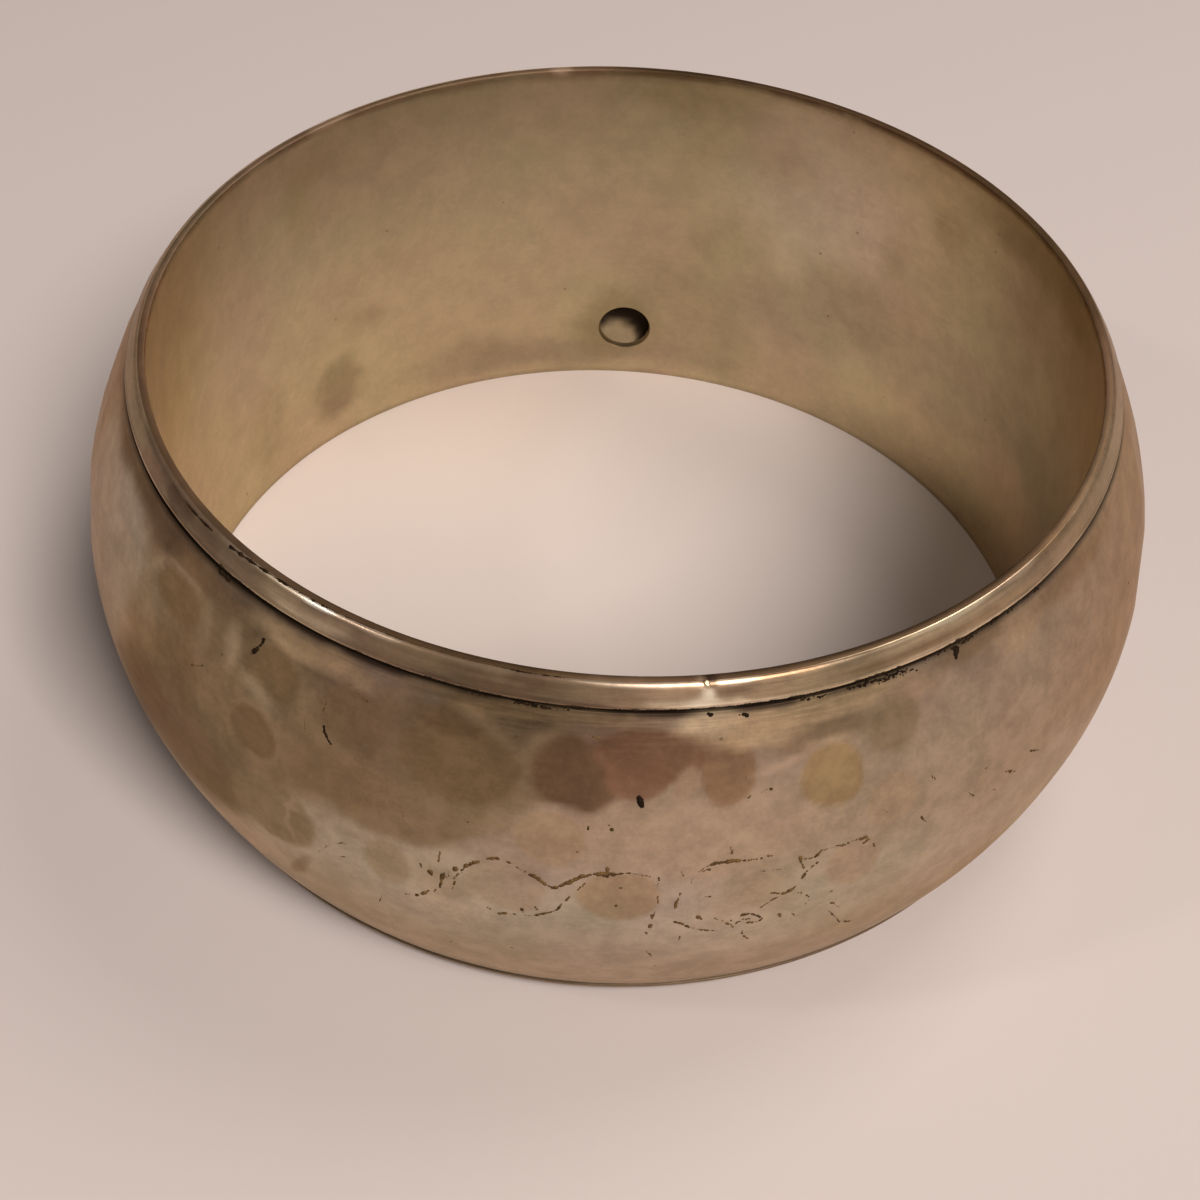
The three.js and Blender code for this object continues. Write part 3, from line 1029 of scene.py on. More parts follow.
# %% Dirt on the shell
GROOVES = [
    # thickness, spread and share of gaps, then places as (turn, height)
    # round the tops of the middle marks
    (0.24, 0.05, 0.42, [(-12.8, 16.7), (-12.4, 17.2), (-11.4, 17.7), (-10.3, 18.2)]),
    (0.32, 0.04, 0.0, [(-10.4, 18.2), (-9.9, 18.3), (-9.4, 18.3)]),
    (0.2, 0.05, 0.44, [(-9.2, 18.3), (-8.2, 18.1), (-7.1, 17.6), (-6, 17.3)]),
    (0.3, 0.05, 0.1, [(-6, 17.3), (-5.6, 17.1), (-4.8, 16.7), (-4.1, 16.6), (-3.2, 17), (-2.4, 17.4)]),
    (0.31, 0.04, 0.0, [(-2.4, 17.4), (-1.8, 17.7), (-0.7, 18), (0.6, 18.1)]),
    (0.34, 0.05, 0.1, [(0.4, 18.1), (1.6, 18.1), (2.6, 18.2)]),
    (0.2, 0.05, 0.35, [(2.6, 18.2), (3.6, 18.1), (4.6, 18)]),
    (0.22, 0.03, 0.1, [(0.7, 18.5), (0.7, 17.9)]),
    (0.16, 0.04, 0.5, [(-1.1, 17.4), (-1.6, 16.9), (-2.2, 16.4)]),
    (0.17, 0.04, 0.35, [(5.5, 17.9), (5.4, 17.2), (5.5, 16.4), (5.5, 15.5)]),
    (0.22, 0.05, 0.3, [(5.3, 14.6), (5.1, 13.8), (5.1, 13)]),
    (0.15, 0.04, 0.4, [(4.6, 13), (4.8, 12.1)]),
    # round their feet
    (0.27, 0.05, 0.0, [(-10.4, 13.5), (-10.2, 13.4)]),
    (0.25, 0.05, 0.3, [(-9.4, 13.1), (-8.3, 13.3), (-7.4, 13.3)]),
    (0.24, 0.03, 0.05, [(-6.8, 13.4), (-6, 13.5), (-5.2, 13.8), (-4.4, 14.1), (-3.8, 14.4)]),
    (0.19, 0.03, 0.2, [(-3.8, 14.4), (-3.5, 14.8), (-3.4, 15.1)]),
    (0.24, 0.04, 0.0, [(-3, 15.5), (-2.7, 15.8)]),
    (0.25, 0.04, 0.0, [(-5.8, 14.4), (-5.6, 14.2)]),
    (0.22, 0.04, 0.0, [(-7.1, 13.9), (-7, 13.7)]),
    # the tangle to the left
    (0.16, 0.02, 0.2, [(-15, 17.9), (-15.1, 17)]),
    (0.34, 0.03, 0.0, [(-16.9, 16.3), (-16.8, 16)]),
    (0.33, 0.03, 0.0, [(-15.9, 15.8), (-15.8, 15.6)]),
    (0.35, 0.04, 0.0, [(-14.6, 16), (-14.8, 15.4)]),
    (0.31, 0.05, 0.1, [(-14.8, 15.2), (-15, 14.6)]),
    (0.33, 0.03, 0.0, [(-13.5, 16.7), (-13.6, 16.5)]),
    (0.33, 0.03, 0.0, [(-12.9, 16.7), (-12.8, 16.5)]),
    (0.29, 0.04, 0.1, [(-13.2, 16.3), (-13.6, 15.8)]),
    (0.39, 0.04, 0.0, [(-13.5, 15.5), (-13.6, 15.2)]),
    (0.26, 0.06, 0.1, [(-14, 16.2), (-14.3, 15.7)]),
    (0.23, 0.03, 0.0, [(-13.7, 14.9), (-13.8, 14.7)]),
    (0.31, 0.03, 0.0, [(-15.5, 14.1), (-15.6, 13.9)]),
    (0.38, 0.04, 0.1, [(-16.2, 13.8), (-16.5, 13.5), (-16.9, 13.2)]),
    (0.35, 0.04, 0.0, [(-17.2, 13.1), (-17.4, 12.9)]),
    (0.23, 0.05, 0.35, [(-18, 12.8), (-18.6, 12.5)]),
    # round the mark to the right of the middle
    (0.22, 0.04, 0.1, [(7.5, 18.3), (7.7, 17.9)]),
    (0.22, 0.04, 0.1, [(8.6, 17.6), (8.5, 17.3)]),
    (0.23, 0.04, 0.3, [(7.6, 16.4), (7.3, 15.6), (7.2, 14.9)]),
    (0.27, 0.04, 0.1, [(9.2, 18.2), (9.7, 18.5), (10.3, 18.7)]),
    (0.36, 0.05, 0.0, [(10.3, 18.7), (11.2, 18.8), (12.2, 18.8)]),
    (0.27, 0.03, 0.0, [(12.2, 18.8), (13.4, 18.7)]),
    (0.2, 0.04, 0.1, [(9.4, 18.2), (10.1, 18.3)]),
    (0.16, 0.02, 0.2, [(13.8, 18.7), (15, 18.7)]),
    (0.24, 0.03, 0.0, [(15.7, 18.8), (16, 18.8)]),
    (0.12, 0.04, 0.5, [(10, 15.8), (12.5, 15.5)]),
    (0.1, 0.03, 0.5, [(15, 17.6), (17.4, 17.5)]),
    # down its right side
    (0.28, 0.05, 0.1, [(18.8, 18.1), (19, 17.7), (19.2, 17.2)]),
    (0.23, 0.04, 0.2, [(19.2, 18), (20.2, 17.9), (20.9, 18.3)]),
    (0.13, 0.03, 0.3, [(20.9, 18.3), (22.4, 18.4)]),
    (0.3, 0.07, 0.2, [(22.4, 18.4), (23.2, 18.3), (24.2, 18.4), (25.2, 18.3)]),
    (0.24, 0.06, 0.3, [(25.4, 18.4), (26, 18.2), (25.4, 17.9)]),
    (0.28, 0.03, 0.0, [(26.4, 17.5), (26.6, 17.3)]),
    (0.2, 0.05, 0.3, [(20.6, 17.4), (20, 17)]),
    (0.28, 0.05, 0.1, [(19.6, 16.8), (19.3, 16.3)]),
    (0.27, 0.04, 0.05, [(18.6, 15.6), (18.2, 15.3), (17.6, 15.1)]),
    (0.24, 0.03, 0.1, [(17.2, 14.9), (16.4, 14.6), (15.8, 14.2), (15.3, 14)]),
    (0.15, 0.03, 0.2, [(16.4, 15.4), (17.2, 15.2)]),
    (0.15, 0.06, 0.4, [(19, 15), (19.8, 14.5), (20.4, 14), (20, 13.3)]),
    (0.22, 0.03, 0.0, [(17.6, 12.8), (17.7, 12.6)]),
    (0.2, 0.03, 0.1, [(18.9, 12.6), (19.2, 12.3)]),
    # the tangle under it
    (0.28, 0.08, 0.1, [(7.5, 13.5), (8.2, 13.1)]),
    (0.2, 0.06, 0.2, [(8.2, 13.1), (8.7, 12.8), (9.8, 12.4), (11.4, 12)]),
    (0.26, 0.06, 0.1, [(9.6, 13.8), (9.8, 13.6)]),
    (0.22, 0.06, 0.2, [(11.1, 13.5), (11.6, 13.3), (12.4, 12.8), (13, 12.3)]),
    (0.2, 0.05, 0.2, [(12.6, 13.4), (12.8, 13)]),
    (0.24, 0.07, 0.1, [(13.6, 13.5), (14.4, 13.5), (14.9, 13.4)]),
    (0.24, 0.05, 0.1, [(14.8, 13.5), (15.4, 13.1), (15.9, 12.7), (15.4, 12.4), (14.4, 12.5)]),
    (0.18, 0.06, 0.3, [(14.6, 13), (13.8, 12.9), (13.4, 12.6)]),
    (0.14, 0.03, 0.4, [(14.1, 11.9), (14.3, 11), (15.2, 10)]),
    (0.13, 0.03, 0.5, [(8, 11.6), (8, 11)]),
    # on the slope below
    (0.17, 0.03, 0.3, [(23, 12.7), (24, 11.8)]),
    (0.17, 0.03, 0.2, [(23, 11.6), (23.6, 11), (25, 9.3)]),
    (0.26, 0.05, 0.1, [(25.8, 9), (26.3, 8.7)]),
    (0.17, 0.03, 0.4, [(4.6, 10.3), (5.6, 8.9)]),
    # pits and ticks near the top
    (0.3, 0.1, 0.0, [(0.7, 21.8), (0.9, 21.6)]),
    (0.34, 0.1, 0.0, [(-1.2, 21.7), (-1.2, 21.45)]),
    (0.26, 0.05, 0.3, [(12, 19.9), (12.2, 19.5)]),
    (0.23, 0.04, 0.4, [(1.7, 15.1), (1.7, 14.7)]),
    (0.14, 0.02, 0.4, [(-6.6, 24.9), (-6.3, 24.8)]),
    (0.23, 0.12, 0.5, [(-1.9, 27.3), (-0.6, 27.1)]),
    (0.21, 0.03, 0.3, [(13.3, 24.6), (13.5, 24.2)]),
    (0.18, 0.05, 0.45, [(13.5, 23.3), (14.8, 23.5), (16.2, 23.7)]),
    (0.18, 0.04, 0.5, [(-26.2, 26.9), (-25, 26.5), (-23.8, 26.3)]),
    (0.16, 0.03, 0.4, [(-28.2, 25.2), (-28.3, 24.7)]),
    (0.16, 0.03, 0.4, [(-24.2, 22.6), (-23.4, 22.3)]),
    (0.18, 0.03, 0.4, [(-45.3, 21.9), (-44.4, 22.2), (-43.7, 22.5)]),
    (0.12, 0.03, 0.5, [(-30.2, 23.6), (-29.8, 22.6)]),
    (0.12, 0.04, 0.6, [(-28.9, 13.1), (-27.8, 13.5), (-26.6, 14.7), (-24.2, 15.8)]),
    (0.16, 0.03, 0.5, [(-25.6, 13.9), (-24.8, 14.1)]),
    # small ticks to the right
    (0.21, 0.03, 0.3, [(31.6, 18.3), (32.3, 17.6)]),
    (0.21, 0.03, 0.3, [(37.4, 18.3), (38, 17.8)]),
    (0.23, 0.03, 0.3, [(42.4, 18.1), (43.8, 17.5)]),
    (0.21, 0.03, 0.3, [(46, 18.3), (47.3, 17.8)]),
    (0.18, 0.03, 0.4, [(40.8, 17.2), (41.2, 17)]),
    (0.18, 0.03, 0.4, [(33.5, 22.6), (33.9, 22.3)]),
    (0.18, 0.03, 0.4, [(32.6, 21.2), (33, 20.9)]),
    (0.18, 0.03, 0.4, [(27.3, 20), (27.7, 19.8)]),
    (0.14, 0.03, 0.5, [(-21.5, 11.1), (-21.9, 10.1)]),
]
grooves = crumb_piece("shell.dirt", GROOVES, shell, 0.13 * MM, groove_dirt)
keep(grooves, "domed_shell")

# %% [markdown]
# ## The liner
#
# The liner is a plain tube, smooth where it touches the wrist, with one round vent through its back. Air in
# the closed space behind it has to get out when the rims are soldered on. The tube is a ring like the others.
# The vent is cut from it with a boolean, as a drill would cut it, by a punch that flares where it enters.

# %% Stains and painted light on the liner
LINER_TONE = (0.56, 0.47, 0.31)


def level(height, rise, rows):
    """Stains that share a height and a rise: each row is (turn, width, softness, strength, tone)."""
    return [(turn, height, width, rise, soft, strength, tone) for turn, width, soft, strength, tone in rows]


LINER_STAINS_AND_PAINTED_LIGHT = [
    # broad drifts of tone
    (104, 20, 13, 16, 0.8, 0.95, (0.345, 0.29, 0.195)),
    (150, 21, 7, 7, 0.7, 0.8, (0.61, 0.53, 0.41)),
    (144, 12.5, 5.5, 3.5, 0.7, 0.8, (0.41, 0.335, 0.225)),
    (169, 9.5, 7, 3.5, 0.7, 0.7, (0.43, 0.355, 0.225)),
    (198, 22, 10, 5, 0.8, 0.7, (0.63, 0.53, 0.35)),
    (210, 14, 8, 4, 0.8, 0.5, (0.59, 0.49, 0.32)),
    # two paler patches low on the wall paint light reflected from the floor
    (110, 6.5, 7, 4, 0.7, 0.8, (0.64, 0.49, 0.32)),
    (130, 4.5, 8, 3, 0.7, 0.8, (0.69, 0.57, 0.36)),
    (248, 21, 9, 11, 0.8, 0.75, (0.55, 0.475, 0.35)),
    # darker near the foot: painted shade where the wall meets the floor
    (190, 2.4, 13, 1.5, 0.6, 0.6, (0.36, 0.3, 0.21)),
    (154, 9.5, 5, 3, 0.7, 0.5, (0.43, 0.36, 0.26)),
    # soft stains
    (110, 28.6, 9, 1.6, 0.6, 0.8, (0.26, 0.205, 0.12)),
    (172, 28.4, 4.5, 2, 0.7, 0.7, (0.43, 0.34, 0.2)),
    (140, 29.9, 16, 0.7, 0.6, 0.7, (0.36, 0.28, 0.17)),
    (192, 29.9, 12, 0.6, 0.6, 0.7, (0.36, 0.28, 0.17)),
    (166, 15.5, 3, 2, 0.7, 0.6, (0.43, 0.36, 0.22)),
    (158, 23.5, 2, 2, 0.8, 0.5, (0.47, 0.385, 0.24)),
    (168, 24, 2, 1.8, 0.7, 0.6, (0.47, 0.385, 0.24)),
    (130, 25, 1.6, 1.8, 0.7, 0.6, (0.4, 0.325, 0.19)),
    (138, 19, 1.4, 2, 0.8, 0.5, (0.44, 0.37, 0.24)),
    (229, 27, 2.5, 1.6, 0.8, 0.6, (0.46, 0.38, 0.23)),
    (232, 23.5, 1.4, 2, 0.8, 0.5, (0.48, 0.4, 0.24)),
    (228, 4.8, 2.3, 2.7, 0.45, 0.8, (0.33, 0.275, 0.17)),
    (242, 5.5, 2.4, 3.8, 0.6, 0.5, (0.4, 0.33, 0.21)),
    (243, 7.5, 1.4, 1.6, 0.5, 0.4, (0.54, 0.45, 0.29)),
    (221, 10.8, 1.8, 1.1, 0.7, 0.55, (0.42, 0.35, 0.22), 30),
    (204, 3.5, 4, 1.6, 0.7, 0.6, (0.4, 0.34, 0.22)),
    (181, 5.4, 3.3, 3.4, 0.45, 0.85, (0.36, 0.29, 0.17)),
    (168, 4, 5, 2.2, 0.7, 0.6, (0.43, 0.35, 0.23)),
]
LINER_END_STAINS_AND_GLINTS = [
    # the end of the wall, all round
    (0, 200, 0.2, 0.95, (0.3, 0.19, 0.11)),
    (-74, 15, 0.2, 0.9, (0.58, 0.36, 0.23)),
    (-44, 4, 0.4, 0.8, (0.43, 0.28, 0.18)),
    (-15, 6.5, 0.3, 0.8, (0.26, 0.16, 0.09)),
    (0.5, 1.6, 0.4, 0.9, (0.4, 0.26, 0.17)),
    (30, 12, 0.2, 0.95, (0.2, 0.13, 0.08)),
    (9.9, 0.4, 0.3, 0.95, (0.07, 0.045, 0.03)),
    (9.2, 0.16, 0.3, 0.7, (0.5, 0.38, 0.27)),
    (76, 11, 0.3, 0.9, (0.42, 0.28, 0.18)),
    (135, 24, 0.2, 0.95, (0.23, 0.14, 0.08)),
    (205, 11, 0.3, 0.95, (0.53, 0.37, 0.24)),
    # two pale spots at the back paint glints on the end
    (226, 2, 0.4, 0.9, (0.8, 0.6, 0.42)),
    (191, 0.8, 0.4, 0.9, (0.85, 0.66, 0.48)),
    (250, 11, 0.3, 0.9, (0.6, 0.43, 0.29)),
]
liner_stains_and_painted_light = LINER_STAINS_AND_PAINTED_LIGHT + level(30.2, 0.14, LINER_END_STAINS_AND_GLINTS)
print(f"{len(liner_stains_and_painted_light)} stains on the liner")

# %% The liner's wall
LINER_WALL = 0.6 * MM
LINER_SOFTENING = 0.12 * MM


def tube_section(wall, foot, top, soft, rows):
    """Up the inside, over the softened end, down the hidden outside and back."""
    inside = [(0.0, h, 0.0) for h in spaced(foot + soft, top - soft, rows)]
    inside[0], inside[-1] = (0.0, foot + soft, 0.2), (0.0, top - soft, 0.2)
    end = [(0.3 * soft, 0.2 * soft, 0.3), (soft, 0.0, 0.3), (0.75 * wall, 0.0, 0.3), (wall, 0.3 * soft, 1.0)]
    top_edge = [(x, top - down, dull) for x, down, dull in end]
    foot_edge = [(x, foot + down, dull) for x, down, dull in reversed(end)]
    return inside + top_edge + foot_edge


tube = tube_section(LINER_WALL, 0, BAND_HEIGHT, LINER_SOFTENING, rows=60)
liner_buckle = (0.05 * MM, 12 * MM)
uncut = ring_piece("liner.uncut", tube, LINER_TONE, liner_metal, liner_stains_and_painted_light, 480, liner_buckle)

# %% The vent
VENT_TURN = 180
VENT_HEIGHT = 4.9 * MM
VENT_RADIUS = 2.15 * MM
VENT_SIDES = 64
VENT_FLARE = [(-2.0, 0.16), (-0.1, 0.1), (0.02, 0.04), (0.1, 0.0), (1.2, 0.0)]
CREASE = math.radians(35)


def vent_cutter(name):
    """A round punch along +Y. Each station is (out from the liner's inside, flare), in millimetres."""
    punch = bmesh.new()
    rings = []
    angles = [2 * math.pi * side / VENT_SIDES for side in range(VENT_SIDES)]
    for out, flare in VENT_FLARE:
        middle = on_band(VENT_TURN, WRIST_RADIUS + out * MM, VENT_HEIGHT)
        radius = VENT_RADIUS + flare * MM
        corners = [middle + Vector((math.cos(a), 0, math.sin(a))) * radius for a in angles]
        rings.append([punch.verts.new(corner) for corner in corners])
    for low, high in zip(rings, rings[1:]):
        for side in range(VENT_SIDES):
            after = (side + 1) % VENT_SIDES
            punch.faces.new((low[side], high[side], high[after], low[after]))
    punch.faces.new(rings[0])
    punch.faces.new(reversed(rings[-1]))
    bmesh.ops.recalc_face_normals(punch, faces=punch.faces)
    mesh = bpy.data.meshes.new(name)
    punch.to_mesh(mesh)
    punch.free()
    return hidden(name, mesh)


def cut_tree():
    """Takes one solid from another, and keeps the shading crisp where they met."""
    tree, given = shape_tree("cut", {"Body": "Object", "Cutter": "Object", "Metal": "Material"})
    body = object_shape(tree, given["Body"])
    cutting = add(tree, "GeometryNodeMeshBoolean", operation="DIFFERENCE", solver="EXACT")
    feed(tree, cutting.inputs["Mesh 1"], body)
    feed(tree, cutting.inputs["Mesh 2"], object_shape(tree, given["Cutter"]))
    before = {"Mesh": body, "Value": named(tree, "patina", "FLOAT_COLOR")}
    tone = add(tree, "GeometryNodeSampleNearestSurface", before, data_type="FLOAT_COLOR").outputs[0]
    toned = stored(tree, cutting.outputs["Mesh"], "patina", tone, "FLOAT_COLOR")
    smooth = add(tree, "GeometryNodeSetShadeSmooth", {"Geometry": toned}, domain="FACE").outputs[0]
    angle = add(tree, "GeometryNodeInputMeshEdgeAngle").outputs["Unsigned Angle"]
    sharp = maths(tree, "GREATER_THAN", angle, CREASE)
    feeds = {"Geometry": smooth, "Selection": sharp, "Shade Smooth": False}
    crisp = add(tree, "GeometryNodeSetShadeSmooth", feeds, domain="EDGE").outputs[0]
    return end_tree(tree, crisp, given["Metal"])


punch = vent_cutter("vent punch")
liner = grown("liner.wall", cut_tree(), {"Body": uncut, "Cutter": punch, "Metal": liner_metal})
keep(liner, "rimmed_liner")
tidy_away(uncut, punch)

# %% [markdown]
# ## The rims
#
# A narrow strip is soldered round each end of the liner. It has a rounded upper edge, a face that slopes
# outwards, and a thin lip at the bottom that overhangs the seam. Its tints are partly tarnish and partly
# painted
# light: bright patches paint highlights and glints, and dark ones paint shade where the lamp's own highlight
# is too strong, so it is bright in some places and nearly brown in others. A strip bent into a ring is one
# more section spun round the axis, so the same recipe makes both rims, the second one mirrored.

# %% Stains and painted highlights on the rims
RIM_TONE = (0.34, 0.25, 0.17)
FACE_AND_EDGE_TARNISH_AND_HIGHLIGHTS = [
    # the sloping face
    (-80, 29.5, 9, 0.55, 0.3, 0.95, (0.36, 0.28, 0.19)),
    (-61, 29.5, 2, 0.55, 0.4, 0.9, (0.32, 0.21, 0.15)),
    (-54, 29.5, 2, 0.55, 0.3, 0.95, (0.18, 0.12, 0.085)),
    (-48, 29.5, 1.8, 0.55, 0.4, 0.9, (0.27, 0.18, 0.125)),
    (-42, 29.5, 1.8, 0.55, 0.4, 0.9, (0.37, 0.265, 0.185)),
    # paler tints here paint the light below the glint on the left
    (-33, 29.5, 3.4, 0.55, 0.4, 0.95, (0.58, 0.44, 0.3)),
    (-32, 29.3, 2.6, 0.25, 0.5, 0.8, (0.9, 0.72, 0.52)),
    (-20.5, 29.5, 3.4, 0.55, 0.5, 0.9, (0.36, 0.26, 0.165)),
    (-10, 29.5, 3.6, 0.55, 0.4, 0.95, (0.265, 0.17, 0.11)),
    (0.5, 29.5, 2, 0.55, 0.5, 0.9, (0.43, 0.3, 0.2)),
    (7, 29.6, 2, 0.55, 0.5, 0.9, (0.52, 0.38, 0.25)),
    (7, 29.25, 2, 0.2, 0.5, 0.8, (0.8, 0.66, 0.46)),
    (20, 29.5, 4, 0.55, 0.4, 0.9, (0.5, 0.37, 0.24)),
    (36, 29.78, 5, 0.2, 0.5, 0.9, (0.68, 0.51, 0.34)),
    (38, 29.35, 7, 0.25, 0.4, 0.8, (0.44, 0.3, 0.18)),
    (30, 29.45, 4, 0.09, 0.5, 0.7, (0.3, 0.2, 0.12)),
    (58, 29.5, 4, 0.55, 0.5, 0.8, (0.32, 0.23, 0.145)),
    (78, 29.5, 8, 0.55, 0.5, 0.9, (0.34, 0.26, 0.18)),
    (-16, 29.7, 7, 0.07, 0.5, 0.5, (0.45, 0.32, 0.22)),
    (-24, 29.2, 6, 0.06, 0.5, 0.5, (0.2, 0.14, 0.09)),
    (14, 29.85, 5, 0.06, 0.5, 0.4, (0.3, 0.2, 0.13)),
    (52, 29.65, 7, 0.07, 0.5, 0.4, (0.42, 0.31, 0.21)),
    # the rounded upper edge: tarnish, with painted highlights and glints where it is bright and painted shade
    # over the lamp's own highlight where it is darkest
    (-80, 30.16, 9, 0.16, 0.2, 0.95, (0.5, 0.36, 0.24)),
    (-56, 30.16, 6, 0.16, 0.3, 0.95, (0.34, 0.23, 0.165)),
    (-42.5, 30.16, 1.6, 0.16, 0.4, 0.9, (0.4, 0.31, 0.24)),
    # the white spot here paints the glint on the left of the rim, with the side lamp
    (-34, 30.15, 3.4, 0.1, 0.5, 0.9, (0.8, 0.7, 0.56)),
    (-32, 30.15, 1.3, 0.1, 0.4, 1.0, (1.0, 0.95, 0.85)),
    (-24.5, 30.16, 1.6, 0.16, 0.5, 0.9, (0.6, 0.49, 0.38)),
    (-15, 30.16, 3, 0.16, 0.4, 0.95, (0.38, 0.27, 0.19)),
    (-6, 30.16, 2, 0.16, 0.4, 0.9, (0.28, 0.19, 0.14)),
    (2.5, 30.16, 3.4, 0.16, 0.4, 0.95, (0.44, 0.36, 0.28)),
    (12.6, 30.16, 1.3, 0.16, 0.4, 0.95, (0.5, 0.41, 0.31)),
    (18.5, 30.16, 2.4, 0.16, 0.4, 0.9, (0.21, 0.13, 0.08)),
    (25, 30.16, 2, 0.16, 0.5, 0.9, (0.28, 0.21, 0.15)),
    (31, 30.16, 1.8, 0.16, 0.5, 0.9, (0.5, 0.4, 0.29)),
    (38, 30.14, 3, 0.17, 0.5, 0.95, (0.84, 0.72, 0.54)),
    (47.5, 30.16, 2, 0.16, 0.5, 0.9, (0.58, 0.44, 0.33)),
    (55, 30.16, 2.2, 0.16, 0.5, 0.9, (0.35, 0.24, 0.14)),
    (66, 30.16, 4, 0.16, 0.5, 0.9, (0.44, 0.31, 0.21)),
    (82, 30.16, 6, 0.16, 0.4, 0.9, (0.36, 0.26, 0.18)),
]
BACK_STAINS_AND_GLINTS = [
    # round the back
    (135, 25, 0.2, 0.95, (0.2, 0.125, 0.07)),
    (169, 4, 0.4, 0.8, (0.17, 0.1, 0.06)),
    (205, 12, 0.3, 0.95, (0.62, 0.46, 0.31)),
    # two pale spots paint glints on the rim's top at the back
    (190.5, 0.7, 0.4, 0.9, (0.7, 0.55, 0.38)),
    (225.5, 1.5, 0.4, 0.9, (0.6, 0.45, 0.3)),
    (250, 10, 0.4, 0.9, (0.6, 0.45, 0.3)),
]
JOINT_STAINS = [
    # where the ends of the strip meet
    (9.6, 29.4, 0.42, 0.45, 0.5, 0.95, (1.0, 0.92, 0.72)),
    (9.2, 29.15, 1.1, 0.2, 0.5, 0.9, (1.0, 0.9, 0.7)),
    (12.4, 29.15, 0.9, 0.14, 0.5, 0.9, (0.85, 0.7, 0.5)),
    (12.3, 29.7, 1.0, 0.17, 0.4, 0.8, (0.25, 0.17, 0.11)),
    (9.8, 30.1, 0.5, 0.2, 0.3, 0.9, (0.14, 0.09, 0.06)),
    (8.9, 30.0, 0.2, 0.14, 0.3, 0.8, (0.6, 0.46, 0.33)),
]
LIP_STAINS = [
    # the lower lip
    (-63, 3, 0.4, 0.9, (0.57, 0.41, 0.3)),
    (-50, 4, 0.4, 0.9, (0.32, 0.22, 0.15)),
    (-35, 4, 0.4, 0.9, (0.54, 0.4, 0.27)),
    (-10, 8, 0.3, 0.95, (0.23, 0.15, 0.1)),
    (15, 3, 0.4, 0.95, (0.58, 0.46, 0.34)),
    (34, 8, 0.3, 0.95, (0.7, 0.53, 0.37)),
    (54, 4, 0.5, 0.9, (0.48, 0.36, 0.24)),
]
RIM_STAINS_AND_HIGHLIGHTS = FACE_AND_EDGE_TARNISH_AND_HIGHLIGHTS + level(30, 0.4, BACK_STAINS_AND_GLINTS) + JOINT_STAINS
RIM_STAINS_AND_HIGHLIGHTS += level(28.97, 0.16, LIP_STAINS)
print(f"{len(RIM_STAINS_AND_HIGHLIGHTS)} stains on a rim")

# %% Rims
RIM_SECTION = [
    # out from the wrist, down from the top, in millimetres, and dullness
    (0.46, 0.3, 1.0),
    (0.47, 0.03, 0.6),
    (0.5, 0.004, 0.1),
    (0.54, 0.008, 0.0),
    (0.61, 0.04, 0.0),
    (0.67, 0.083, 0.0),
    (0.72, 0.127, 0.0),
    (0.77, 0.18, 0.0),
    (0.82, 0.245, 0.0),
    (0.9, 0.36, 0.0),
    (1.02, 0.54, 0.0),
    (1.15, 0.75, 0.0),
    (1.27, 0.95, 0.0),
    (1.33, 1.06, 0.1),
    (1.38, 1.13, 0.2),
    (1.41, 1.17, 0.0),
    (1.44, 1.22, 0.0),
    (1.45, 1.3, 0.4),
    (1.4, 1.38, 1.0),
    (1.1, 1.4, 1.0),
    (0.6, 1.4, 1.0),
]
RIM_BUCKLE = (0.05 * MM, 5 * MM)


def rim(name, at_foot):
    """One rim strip, at the top or mirrored at the foot."""
    points = [(out * MM, BAND_HEIGHT - down * MM, dull) for out, down, dull in RIM_SECTION]
    if at_foot:
        points = [(x, BAND_HEIGHT - h, dull) for x, h, dull in reversed(points)]
    made = ring_piece(name, points, RIM_TONE, rim_metal, RIM_STAINS_AND_HIGHLIGHTS, 900, RIM_BUCKLE)
    keep(made, "rimmed_liner")
    return made


top_rim = rim("rim.top", at_foot=False)
rim("rim.foot", at_foot=True)

# %% [markdown]
# ## Cracks, dirt and painted seam shadow at the rim
#
# Where the solder has drawn back, two short cracks have opened between the liner's end and the rim. A
# hairline runs on from them to the right, and dirt has filled it all. Under the rim's lip a long black line of
# crumbs paints the shadow of the seam, with lumps of dirt along it, and more dirt sits on the shell's edge
# just below. It is laid as crumbs again, darker and closer together than in the grooves. The crumbs under the
# lip stick to the rim, and those below it to the shell. A wire of constant thickness would look drawn with a
# pen.

# %% Cracks at the rim
CRACKS = [
    # thickness, spread and share of gaps, then places as (turn, height, radius)
    (0.17, 0.01, 0.0, [(-53.4, 30.1, 32.86), (-50, 30.1, 32.82), (-47.9, 30.1, 32.76)]),
    (0.24, 0.02, 0.0, [(-44.7, 30.1, 32.68), (-43, 30.1, 32.63), (-41.4, 30.12, 32.58)]),
    (0.17, 0.01, 0.0, [(-41.4, 30.12, 32.58), (-39.5, 30.14, 32.54), (-36, 30.16, 32.52)]),
    (0.14, 0.01, 0.0, [(-36, 30.16, 32.51), (-30, 30.17, 32.5), (-22, 30.17, 32.5)]),
    (0.12, 0.01, 0.25, [(-22, 30.17, 32.5), (-10, 30.17, 32.5), (-3, 30.17, 32.5)]),
]
cracks = crumb_piece("rim.cracks", CRACKS, top_rim, 0.06 * MM, seam_dirt_and_shadow)
keep(cracks, "rimmed_liner")
